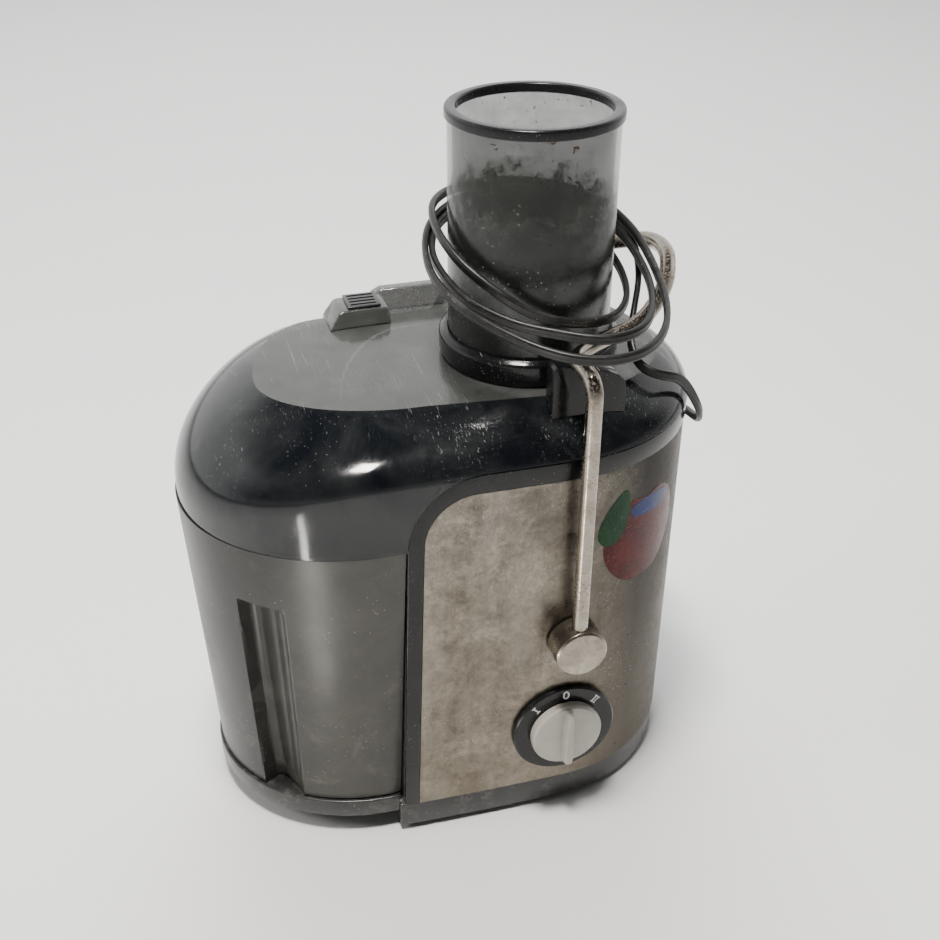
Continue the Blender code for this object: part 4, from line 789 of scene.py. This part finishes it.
def sector(name, a0, a1, n=24):
    pts = [(0, 0)]
    for i in range(n + 1):
        a = math.radians(a0 + (a1 - a0) * i / n)
        pts.append((200 * math.cos(a), 200 * math.sin(a)))
    return extrude(name, pts, -50, 350)


def box(name, x0, x1, y0, y1, z0, z1):
    return extrude(name, [(x0, y0), (x1, y0), (x1, y1), (x0, y1)], z0, z1)


# ---- lid ----------------------------------------------------------------
def lid_plans(inset, side_n=10):
    low = egg(-180.4 + inset, -92.0, 80.9 - inset, 0, 82.3 - inset)
    high = egg(-137.5, -64.0, 44.5, 8.0, 52.0)
    back = egg(-137.5, -95.0, 62.0, 8.0, 68.0)
    right_n, left_n = 56, 64
    for i in range(right_n // 2 + 1, right_n + side_n + 1 + left_n // 2):
        x, y = back[i]
        high[i] = (8 + (x - 8) * 52 / 68 if x > 8 else x, y)
    high = [(x + (6 * (x - 8) / 52 if x > 8 else 0), y) for x, y in high]
    if inset:
        high = [(x * 0.985, y * 0.965) for x, y in high]
    return low, high


def shoulder_start(x):
    t = min(max((x + 181) / 85, 0), 1)
    return 190 + 28 * (1 - (1 - t) ** 1.6)


def lid_sections(low, high, drop, bottom, steps=18):
    out = [[(x, y, bottom) for x, y in low]]
    for k in range(1, 4):
        out.append([(x, y, bottom + (shoulder_start(x) - drop - bottom) * k / 3) for x, y in low])
    # the shoulder meets the flat top in a shallow crease
    power, last = 0.94, math.radians(57)
    c_end, s_end = math.cos(last) ** power, math.sin(last) ** power
    for i in range(1, steps + 1):
        a = last * i / steps
        c, s = (math.cos(a) ** power - c_end) / (1 - c_end), math.sin(a) ** power / s_end
        out.append(
            [
                (x1 + (x0 - x1) * c, y1 + (y0 - y1) * c, shoulder_start(x0) + (LID_TOP - shoulder_start(x0)) * s - drop)
                for (x0, y0), (x1, y1) in zip(low, high)
            ]
        )
    return out


lid = rings("lid_shell", lid_sections(*lid_plans(0), 0.0, LID_JOINT))
lid_room = rings("lid_room", lid_sections(*lid_plans(LID_WALL), LID_WALL, LID_JOINT - 20))
VENT_TOP, RIB_TOP = 248.6, 250.6
house = extrude(
    "vent_house",
    [(-93, 232), (-92, 240.6), (-86.4, VENT_TOP - 0.7), (-84, VENT_TOP), (-61, VENT_TOP), (-59.5, VENT_TOP - 1.5), (-59.5, 232)],
    48.3, 67.3, "Y",
)
for v in house.data.vertices:
    if v.co.z < 0.241 and v.co.y < 0.050:
        v.co.y -= 0.0042
bevel(house, 1.2, 4, 30)
rib = extrude(
    "vent_rib",
    [(-65.3, 224.7), (-65.1, VENT_TOP - 0.7), (-60, RIB_TOP), (-26, RIB_TOP), (-24, RIB_TOP - 2), (-23.8, 224.7)],
    66.0, 73.0, "Y",
)
for v in rib.data.vertices:
    if v.co.z < 0.241 and v.co.y < 0.067:
        v.co.y -= 0.0090
bevel(rib, 1.2, 4, 30)
cut(house, rib, "UNION")
cut(lid, house, "UNION")
cut(lid_room, box("vent_room", -86.6, -60.6, 50.5, 65.1, 226.4, VENT_TOP - LID_WALL), "UNION")
cut(lid, lid_room)
cut(lid, extrude("lid_arch", front_shape(0.4, 100), -130, 130, "Y"))
cut(lid, lathe("chute_hole", [(0, 200), (40.3, 200), (40.3, 280), (0, 280)], 96))
for k in range(4):
    y = 57.8 + (k - 1.5) * 3.7
    cut(lid, box(f"lid_slot_{k}", -79.8, -65.4, y - 0.9, y + 0.9, 236, 260))
smooth(lid, 24)
for edge in lid.data.edges:
    if all(abs(lid.data.vertices[v].co.z - LID_TOP / 1000) < 2e-5 for v in edge.vertices):
        edge.use_edge_sharp = True
dress(lid, SMOKE_LID, "base", ["lid"])

grille = box("vent_grille", -81.4, -63.8, 49.4, 66.2, VENT_TOP + 0.3, VENT_TOP + 1.7)
bevel(grille, 0.5, 3, 40)
for k in range(4):
    y = 57.8 + (k - 1.5) * 3.7
    cut(grille, extrude(f"vent_slot_{k}", fillet([(-79.6, y - 0.8), (-65.6, y - 0.8), (-65.6, y + 0.8), (-79.6, y + 0.8)], 0.7, 3), 236, 260))
smooth(grille, 30)
dress(grille, gloss_black("grille_black", (0.030, 0.031, 0.032), 0.22, 11.0, 0.8), "base", ["lid_vent_grille"])

# ---- chute, collar and rim ----------------------------------------------
chute = lathe("chute_tube", fillet([(40.0, 196), (40.0, 360.4), (37.6, 360.4), (37.6, 196)], 0.4, 2), 128)
dress(chute, SMOKE_CHUTE, "base", ["feed_chute"])
rim = lathe(
    "chute_top_ring",
    fillet([(36.0, 362), (41.4, 362), (41.4, 357.2), (40.3, 357.2), (40.3, 360.7), (37.3, 360.7), (37.3, 357.2), (36.0, 357.8)], [1.3, 1.6, 0.8, 0.1, 0.1, 0.1, 0.1, 0.5], 5),
    128,
)
dress(rim, GLOSS_RIM, "base", ["chute_rim"])
collar = lathe(
    "collar_ring",
    fillet([(40.3, 253.6), (41.9, 253.6), (44.6, 251.6), (44.6, 244.0), (43.4, 240.3), (40.3, 240.3)], [0.2, 0.7, 2.2, 2.4, 0.5, 0.1], 6),
    128,
)
dress(collar, GLOSS, "base", ["chute_collar"])

# ---- front trim and steel sheet -----------------------------------------
trim = extrude("front_trim", body_plan(0), BODY_LOW, 240)
cut(trim, extrude("trim_hollow", body_plan(2.7), 0, 300))
cut(trim, extrude("trim_front", front_shape(0, 0), -130, 130, "Y"), "INTERSECT")
window = extrude("trim_window", panel_window(0, -20), -130, 130, "Y")
cut(window, sector("zone", -184, -14), "INTERSECT")
cut(trim, window)
cut(trim, sector("trim_zone", -184, -8), "INTERSECT")
bevel(trim, 0.9, 3, 50)
dress(trim, GLOSS, "base", ["panel_trim"])

sheet = extrude("steel_sheet", body_plan(0.5), BODY_LOW, 240)
cut(sheet, extrude("sheet_hollow", body_plan(1.4), 0, 300))
cut(sheet, extrude("sheet_front", panel_window(-0.3, 0), -130, 130, "Y"), "INTERSECT")
cut(sheet, sector("sheet_keep", -183.5, -14.3), "INTERSECT")
cut(sheet, lathe("pivot_bore", [(0, -10), (6.0, -10), (6.0, 120), (0, 120)], 48, (0, 0, 117), "Y", -1))
cut(sheet, lathe("dial_bore", [(0, -10), (5.5, -10), (5.5, 120), (0, 120)], 48, (-2.4, 0, 57), "Y", -1))
smooth(sheet, 30)
dress(sheet, PANEL, "base", ["front_panel"])

# ---- housing ------------------------------------------------------------
housing = extrude("housing_shell", body_plan(3.0, arc_n=64), BODY_LOW, 240)
cut(housing, extrude("housing_front", front_shape(0, 10), -130, 130, "Y"), "INTERSECT")
bevel(housing, 1.6, 4, 50)
motor_room = extrude("motor_room", body_plan(5.4), 9.4, 144)
cut(motor_room, extrude("room_front", front_shape(-2.4, 0), -130, 130, "Y"), "INTERSECT")
cut(housing, motor_room)
cut(housing, lathe("bowl_room", [(0, 147), (76.1, 147), (76.1, 267), (0, 267)], 96))
cut(housing, lathe("shaft_hole", [(0, 130), (17, 130), (17, 160), (0, 160)], 48))
spout_turn = math.radians(27)
along, aside = Vector((math.cos(spout_turn), math.sin(spout_turn))), Vector((-math.sin(spout_turn), math.cos(spout_turn)))


def turned_box(name, r0, r1, half, z0, z1):
    pts = [along * r0 - aside * half, along * r1 - aside * half, along * r1 + aside * half, along * r0 + aside * half]
    return extrude(name, [tuple(p) for p in pts], z0, z1)


cut(housing, turned_box("spout_notch", 50, 110, 12.5, 148.4, 238))
cut(housing, lathe("pivot_bore_both", [(0, -130), (6.0, -130), (6.0, 130), (0, 130)], 48, (0, 0, 117), "Y", -1))
cut(housing, lathe("dial_bore_2", [(0, 60), (5.5, 60), (5.5, 100), (0, 100)], 48, (-2.4, 0, 57), "Y", -1))
cord_bore = lathe("cord_bore", [(0, 60), (4.6, 60), (4.6, 96), (0, 96)], 40, (-OX, 0, 0))
cord_bore.data.transform(Matrix.Translation(mm((0, 0, 40))) @ turn)
cut(housing, cord_bore)
smooth(housing, 30)
dress(housing, BLACK, "base", ["motor_housing"])

# ---- base ---------------------------------------------------------------
base = extrude("base_body", body_plan(1.2, left=-90.8, arc_n=64), 3.2, 19.1)


def tray_plan(inset, right, n=64):
    a, b = -93 + 176.5 - inset, 73.8 - inset
    pts = []
    for i in range(n + 1):
        t = math.pi / 2 + math.pi * i / n
        pts.append((-93 + a * math.cos(t), b * math.sin(t)))
    return pts + [(right, -b), (right, b)]


cut(base, extrude("tray", tray_plan(0, -80), 11.0, 22.0), "UNION")
cut(base, box("shelf_stop", -89, 11, -100, 100, 19.1, 39.1))
bevel(base, 1.1, 3, 50)
cut(base, extrude("plinth_hollow", body_plan(4.2, left=-87.8), -10, 16.4))
cut(base, extrude("tray_hollow", tray_plan(2.6, -80), -10.6, 19.4))
smooth(base, 30)
dress(base, BASE, "base", ["base_shell"])

# ---- pulp bin -----------------------------------------------------------
BIN_LOW, BIN_TOP = 22.3, 185.0


def groove_ends(z):
    table = ((17.3, (-157.0, 45.0), (-138.4, 60.2)), (75.0, (-159.4, 46.4), (-138.7, 63.2)), (148.0, (-161.4, 49.6), (-139.8, 66.6)), (200.0, (-163.0, 52.0), (-140.6, 69.0)))
    for (z0, l0, r0), (z1, l1, r1) in zip(table, table[1:]):
        if z <= z1:
            t = (z - z0) / (z1 - z0)
            return Vector(l0).lerp(Vector(l1), t), Vector(r0).lerp(Vector(r1), t)
    return Vector(table[-1][1]), Vector(table[-1][2])


def groove_depth(u, length):
    d = u * length
    stops = ((0.0, 0.0), (0.6, 2.2), (3.0, 7.74), (5.0, 8.8), (7.5, 9.0), (0.62 * length, 5.94), (0.84 * length, 2.7), (length, 0.0))
    for (d0, v0), (d1, v1) in zip(stops, stops[1:]):
        if d <= d1:
            t = (d - d0) / (d1 - d0)
            t = t * t * (3 - 2 * t) * 0.35 + t * 0.65
            return v0 + (v1 - v0) * t
    return 0.0


def bin_ring(z, n=420):
    t = (z - BIN_LOW) / (BIN_TOP - BIN_LOW)
    cx, a, b = -93 + t, 82.0 + 7.2 * t, 72.0 + 8.6 * t
    right = -88.9 + 5.0 * t
    l, r = groove_ends(z)
    chord = r - l
    length = chord.length
    way = chord / length
    inward = Vector((way.y, -way.x))
    head = 1.0 if z < 145.6 else math.sqrt(max(0.0, 1 - ((z - 145.6) / 7.0) ** 2)) if z < 152.6 else 0.0
    ring = []
    for i in range(n + 1):
        s = math.pi / 2 + math.pi * i / n
        p = Vector((cx + a * math.cos(s), b * math.sin(s)))
        side = 1 if p.y >= 0 else -1
        q = Vector((p.x, abs(p.y)))
        u = (q - l).dot(way) / length
        if head > 0 and 0 < u < 1:
            bulge = (l + way * (u * length) - q).dot(inward)
            q = q + inward * max(0.0, (bulge + groove_depth(u, length))) * min(1.0, head)
        ring.append((q.x, side * q.y, z))
    corner = 3.0
    ring.append((right, -b + corner * 0.3, z))
    for k in range(1, 9):
        ring.append((right, (-b + corner) + (2 * b - 2 * corner) * k / 9, z))
    ring.append((right, b - corner * 0.3, z))
    return ring


levels = [BIN_LOW + 0.0, BIN_LOW + 0.5, BIN_LOW + 1.4] + [BIN_LOW + 1.4 + (140 - BIN_LOW - 1.4) * k / 22 for k in range(1, 23)] + [140 + 14 * k / 22 for k in range(1, 23)] + [154 + (BIN_TOP - 154) * k / 6 for k in range(1, 7)]
sections = []
for k, z in enumerate(levels):
    ring = bin_ring(z)
    if k < 2:
        ease = (0.75, 0.28)[k]
        ring = [(x + (ease if x < -150 else 0) * 0 + (-(x + 93) * ease / 82), y - y * ease / 72, zz) for x, y, zz in ring]
    sections.append(ring)
n = len(sections[0])
verts = [p for s in sections for p in s]
faces = [tuple(reversed(range(n)))]
for k in range(len(sections) - 1):
    for i in range(n):
        j = (i + 1) % n
        faces.append((k * n + i, k * n + j, (k + 1) * n + j, (k + 1) * n + i))
pulp_bin = make("bin_shell", verts, faces, 40)
wall = pulp_bin.modifiers.new("wall", "SOLIDIFY")
wall.thickness = 0.0020
wall.offset = -1.0
wall.use_even_offset = False
bake(pulp_bin)
smooth(pulp_bin, 32)
dress(pulp_bin, BIN, "bin", ["pulp_bin"])

# ---- bail ---------------------------------------------------------------
PIVOT_Z, ARM_Y, CROSS_Z = 117.0, 90.7, 266.0


def bail_half(side):
    corner = Vector((0, side * ARM_Y, CROSS_Z))
    path = [Vector((0, side * ARM_Y, PIVOT_Z + 6)), Vector((0, side * ARM_Y, PIVOT_Z + 40)), Vector((0, side * ARM_Y, PIVOT_Z + 90))]
    a, b = corner - Vector((0, 0, 9.5)), corner - Vector((0, side * 9.5, 0))
    for i in range(15):
        t = i / 14
        path.append(a * (1 - t) ** 2 + corner * 2 * t * (1 - t) + b * t * t)
    bend = curve_through(
        [
            (0, side * 76, CROSS_Z), (0.4, side * 66, CROSS_Z), (14, side * 55.5, CROSS_Z + 0.6), (38, side * 47.5, CROSS_Z + 4.4),
            (57, side * 31, CROSS_Z + 12.4), (66.5, side * 13, 285.6), (69, 0, 287.0),
        ],
        2.6,
    )
    return path + bend


whole = bail_half(-1) + list(reversed(bail_half(1)))[1:]
bail = sweep("bail_bar", relaxed(whole, 2), round_section(3.95, 24), 60.0)
dress(bail, CHROME, "bail", ["bail_rod"])
for side, tag in ((-1, "front"), (1, "rear")):
    cap = lathe(
        f"bail_boss_{tag}",
        fillet([(0, 14.2), (10.6, 14.5), (12.2, 14.5), (13.3, 13.5), (13.3, 0.6), (12.6, 0.0), (0, 0)], [0, 0.3, 0.5, 0.5, 0.4, 0.2, 0], 4),
        96, (0, side * 81.8, PIVOT_Z), "Y", side,
    )
    dress(cap, CAP, "bail", [f"bail_cap_{tag}"])

# saddles on the lid that the bail rests in
skin = rings("saddle_skin", lid_sections(egg(-180.7, -92.0, 81.2, 0, 82.6), [(x * 1.004, y * 1.004) for x, y in lid_plans(0)[1]], -0.25, 165.0))
for side, tag in ((-1, "front"), (1, "rear")):
    top = CROSS_Z - 4.6
    outline = fillet(
        [(-10, 226), (26.4, 226), (26.4, top - 16), (25.2, top - 10.6), (22.2, top - 7.2), (17.4, top - 4.8), (11, top - 3.4), (6.4, top - 2.6), (4.6, top), (-4.8, top), (-5.4, top + 0.8), (-8.2, top + 0.8), (-9.6, top - 1.0), (-10, top - 4)],
        [0, 0, 2, 2, 2, 2, 2, 1, 1, 0.3, 0.3, 0.6, 0.6, 1], 3,
    )
    y0, y1 = sorted((side * 56.3, side * 65.3))
    saddle = extrude(f"saddle_{tag}", outline, y0, y1, "Y")
    bevel(saddle, 0.8, 3, 60)
    cut(saddle, skin, keep=True)
    smooth(saddle, 30)
    dress(saddle, GLOSS, "base", [f"bail_saddle_{tag}"])
bpy.data.objects.remove(skin, do_unlink=True)

# ---- dial and knob ------------------------------------------------------
DX, DZ = -2.4, 57.0
dial = lathe(
    "dial_plate",
    fillet([(4.2, 2.4), (27.0, 2.4), (27.8, 1.6), (27.8, 0), (4.2, 0)], [0.1, 0.5, 0.4, 0.1, 0.1], 4),
    112, (DX, -81.8, DZ), "Y", -1,
)
dress(dial, gloss_black("dial_black", (0.008, 0.008, 0.009), 0.14, 14.0, 0.8), "base", ["speed_dial"])


def mark(name, shapes, angle, radius):
    """Flat mark on the dial, standing radially. shapes are outlines in (side, up) millimetres."""
    c, s = math.cos(angle), math.sin(angle)
    pieces = []
    for k, pts in enumerate(shapes):
        placed = []
        for u, v in pts:
            r = radius + v
            placed.append((DX + r * s + u * c, DZ + r * c - u * s))
        pieces.append(extrude(f"{name}_{k}", placed, -84.34, -84.1, "Y"))
    first = pieces[0]
    for other in pieces[1:]:
        cut(first, other, "UNION")
    first.name = name
    dress(first, MARK, "base")
    return first


def bar(w, h, dx=0.0, dy=0.0):
    return [(dx - w / 2, dy - h / 2), (dx + w / 2, dy - h / 2), (dx + w / 2, dy + h / 2), (dx - w / 2, dy + h / 2)]


mark("dial_mark_one", [bar(0.85, 4.4), bar(2.3, 0.6, 0, 2.05), bar(2.3, 0.6, 0, -2.05)], math.radians(-44), 23.4)
mark("dial_mark_two", [bar(0.75, 4.4, -0.85), bar(0.75, 4.4, 0.85), bar(3.6, 0.6, 0, 2.05), bar(3.6, 0.6, 0, -2.05)], math.radians(44), 23.4)
zero_out = [(1.75 * math.cos(2 * math.pi * k / 40), 2.6 * math.sin(2 * math.pi * k / 40)) for k in range(40)]
zero_in = [(1.0 * math.cos(2 * math.pi * k / 40), 1.85 * math.sin(2 * math.pi * k / 40)) for k in range(40)]
zero = extrude("dial_mark_zero", [(DX + u, DZ + 23.4 + v) for u, v in zero_out], -84.34, -84.1, "Y")
cut(zero, extrude("zero_in", [(DX + u, DZ + 23.4 + v) for u, v in zero_in], -86, -82, "Y"))
dress(zero, MARK, "base")

knob = lathe(
    "knob_disc",
    fillet([(0, 5.2), (16.0, 5.4), (18.4, 5.1), (19.2, 3.6), (19.2, 0.2), (18.8, 0.0), (0, 0)], [0, 0.5, 0.8, 0.8, 0.2, 0.1, 0], 5),
    112, (DX, -84.5, DZ), "Y", -1,
)
ridge_rings = []
for h, w, l in ((3.0, 3.9, 18.6), (5.0, 3.7, 18.5), (6.4, 3.2, 18.3), (8.0, 2.6, 17.8), (9.1, 2.1, 17.3), (9.55, 1.5, 16.8)):
    ring = []
    for k in range(64):
        a = 2 * math.pi * k / 64
        c, s = math.cos(a), math.sin(a)
        u = w * math.copysign(abs(c) ** 0.45, c)
        v = l * math.copysign(abs(s) ** 0.55, s)
        u *= 0.72 + 0.42 * (0.5 - 0.5 * v / 18.6)
        reach = math.sqrt(max(0.0, 18.6**2 - u * u))
        v = max(-reach, min(reach, v))
        ring.append((DX + u, -84.5 - h, DZ + v))
    ridge_rings.append(ring)
ridge = rings("knob_ridge", ridge_rings)
cut(knob, ridge, "UNION")
smooth(knob, 30)
dress(knob, CREAM, "knob", ["speed_knob"])

# ---- fruit picture on the round end of the steel ------------------------
STICK_A, STICK_Z, STICK_R = math.radians(-61.5), 168.0, 81.0


def film(name, outline, centre, low, high, material, rows=10):
    """A thin film bent round the steel: outline is star-shaped about centre, in (along, up) mm."""
    n = len(outline)
    verts, faces = [], []
    for r in (STICK_R + low, STICK_R + high):
        for k in range(rows + 1):
            for u, v in outline:
                x, y = centre[0] + (u - centre[0]) * k / rows, centre[1] + (v - centre[1]) * k / rows
                a = STICK_A + x / STICK_R
                verts.append((r * math.cos(a), r * math.sin(a), STICK_Z + y))
    layer = (rows + 1) * n
    for base_i, flip in ((0, True), (layer, False)):
        for k in range(rows):
            for i in range(n):
                j = (i + 1) % n
                quad = (base_i + k * n + i, base_i + k * n + j, base_i + (k + 1) * n + j, base_i + (k + 1) * n + i)
                faces.append(tuple(reversed(quad)) if flip else quad)
    for i in range(n):
        j = (i + 1) % n
        faces.append((rows * n + i, rows * n + j, layer + rows * n + j, layer + rows * n + i))
    obj = make(name, verts, faces, 40, 1e-8)
    dress(obj, material, "base")
    return obj


apple = []
for k in range(96):
    a = 2 * math.pi * k / 96
    dip = 1.0 - 0.16 * math.exp(-((math.atan2(math.sin(a - math.pi / 2), math.cos(a - math.pi / 2)) / 0.30) ** 2))
    foot = 1.0 - 0.06 * math.exp(-((math.atan2(math.sin(a + math.pi / 2), math.cos(a + math.pi / 2)) / 0.25) ** 2))
    wide = 1.0 + 0.05 * math.sin(a)
    apple.append((27.0 * math.cos(a) * dip * foot * wide + 1.0, 26.5 * math.sin(a) * dip * foot - 2.0))
film("film_apple", apple, (1.0, -2.0), 0.03, 0.13, RED, 14)
leaf = []
for k in range(64):
    t = 2 * math.pi * k / 64
    u, v = 15.5 * math.cos(t), 7.6 * math.sin(t) * (1 - 0.35 * math.cos(t))
    c, s = math.cos(math.radians(70)), math.sin(math.radians(70))
    leaf.append((-19.5 + u * c - v * s, 15.0 + u * s + v * c))
film("film_leaf", leaf, (-19.5, 15.0), 0.14, 0.20, GREEN, 10)
badge = []
for k in range(64):
    t = 2 * math.pi * k / 64
    u = 15.5 * math.copysign(abs(math.cos(t)) ** 0.75, math.cos(t))
    v = 5.0 * math.copysign(abs(math.sin(t)) ** 0.8, math.sin(t))
    c, s = math.cos(math.radians(-4)), math.sin(math.radians(-4))
    badge.append((5.0 + u * c - v * s, 14.5 + u * s + v * c))
film("film_badge", badge, (5.0, 14.5), 0.14, 0.20, BLUE, 8)

# ---- CAD pieces that keep their shape -----------------------------------
carried = {
    "juice_bowl": moulded("bowl_smoke", (0.030, 0.033, 0.035), (0.050, 0.053, 0.053), 0.2, 900.0, (0.10, 0.09, 0.07), 0.5, 0.3, 12.0),
    "basket_hub": NATURAL, "basket_rim": NATURAL, "drive_coupling": NATURAL, "brush_holder_left": NATURAL, "brush_holder_right": NATURAL,
    "filter_screen": MESH, "grater_disc": STEEL, "motor_shaft": STEEL, "knob_shaft": STEEL, "bail_pin_front": STEEL, "bail_pin_rear": STEEL,
    "bearing_upper": STEEL, "bearing_lower": STEEL, "motor_bracket_upper": STEEL, "motor_bracket_lower": STEEL, "motor_post_1": STEEL,
    "motor_post_2": STEEL, "stator": STEEL, "armature": COPPER, "commutator": COPPER, "circuit_board": BOARD,
    "foot_1": RUBBER, "foot_2": RUBBER, "foot_3": RUBBER, "foot_4": RUBBER, "motor_damper_1": RUBBER, "motor_damper_2": RUBBER, "shaft_seal": RUBBER,
    "bottom_plate": BLACK, "rotary_switch": BLACK, "interlock_switch": BLACK, "interlock_cam": BLACK, "cooling_fan": BLACK,
    "bail_bush_front": BLACK, "bail_bush_rear": BLACK,
}
for name, material in carried.items():
    data = nodes[name].data
    data.materials.clear()
    data.materials.append(material)

# ---- floor and lights ---------------------------------------------------
floor_mat = Mat("floor", roughness=0.65, specular=0.25)
floor_mat.set("Base Color", floor_mat.mix(floor_mat.noise(6.0, 3.0), (0.80, 0.80, 0.795), (0.83, 0.83, 0.825)))
floor_mesh = bpy.data.meshes.new("floor")
floor_mesh.from_pydata([(-7, -5, 0), (7, -5, 0), (7, 9, 0), (-7, 9, 0)], [], [(0, 1, 2, 3)])
floor = bpy.data.objects.new("floor", floor_mesh)
scene.collection.objects.link(floor)
floor_mesh.materials.append(floor_mat.m)

world = bpy.data.worlds.new("soft_grey")
world.use_nodes = True
wt = world.node_tree
sky_dir = wt.nodes.new("ShaderNodeTexCoord").outputs["Generated"]
split = wt.nodes.new("ShaderNodeSeparateXYZ")
wt.links.new(sky_dir, split.inputs[0])


def sky_ramp(fac, stops):
    n = wt.nodes.new("ShaderNodeValToRGB")
    wt.links.new(fac, n.inputs[0])
    while len(n.color_ramp.elements) < len(stops):
        n.color_ramp.elements.new(0.5)
    for e, (place, value) in zip(n.color_ramp.elements, stops):
        e.position = place
        e.color = (value, value, value * 0.985, 1)
    return n.outputs[0]


# a bright band behind the object up to half height, dark overhead and in front
back_sky = sky_ramp(split.outputs["Z"], ((0.0, 1.0), (0.40, 1.0), (0.60, 0.92), (0.70, 0.40), (0.80, 0.06), (1.0, 0.02)))
front_sky = sky_ramp(split.outputs["Z"], ((0.0, 0.40), (0.12, 0.26), (0.24, 0.07), (0.6, 0.03), (1.0, 0.02)))
facing = wt.nodes.new("ShaderNodeMapRange")
facing.inputs["From Min"].default_value = -0.15
facing.inputs["From Max"].default_value = 0.25
wt.links.new(split.outputs["Y"], facing.inputs["Value"])
both = wt.nodes.new("ShaderNodeMix")
both.data_type = "RGBA"
wt.links.new(facing.outputs[0], both.inputs[0])
wt.links.new(front_sky, both.inputs[6])
wt.links.new(back_sky, both.inputs[7])
wt.links.new(both.outputs[2], wt.nodes["Background"].inputs["Color"])
wt.nodes["Background"].inputs["Strength"].default_value = 1.7
scene.world = world


def area(name, place, target, size, power, colour=(1, 1, 1), size_y=None):
    data = bpy.data.lights.new(name, "AREA")
    data.energy = power
    data.color = colour
    data.size = size
    if size_y:
        data.shape = "RECTANGLE"
        data.size_y = size_y
    obj = bpy.data.objects.new(name, data)
    scene.collection.objects.link(obj)
    obj.location = place
    obj.rotation_euler = (Vector(target) - Vector(place)).to_track_quat("-Z", "Y").to_euler()
    return obj


area("key", (-0.16, -0.20, 1.60), (0, 0, 0.15), 0.26, 36, (1.0, 0.965, 0.92))
side = area("side", (-1.5, 0.1, 1.1), (0, 0, 0.15), 0.5, 9, (1.0, 0.98, 0.95))
side.visible_glossy = False
wash = area("floor_wash", (0.2, 1.6, 2.2), (0.1, 0.9, 0.0), 1.6, 70, (1.0, 1.0, 1.0))
wash.visible_glossy = False

strip = area("strip", (-0.225, -0.247, 0.004), (-0.225, -0.247, 1.0), 0.020, 0.42, (1.0, 0.97, 0.90), 0.23)
strip.rotation_euler = (math.pi, 0, math.radians(133.8))
strip.visible_camera = False
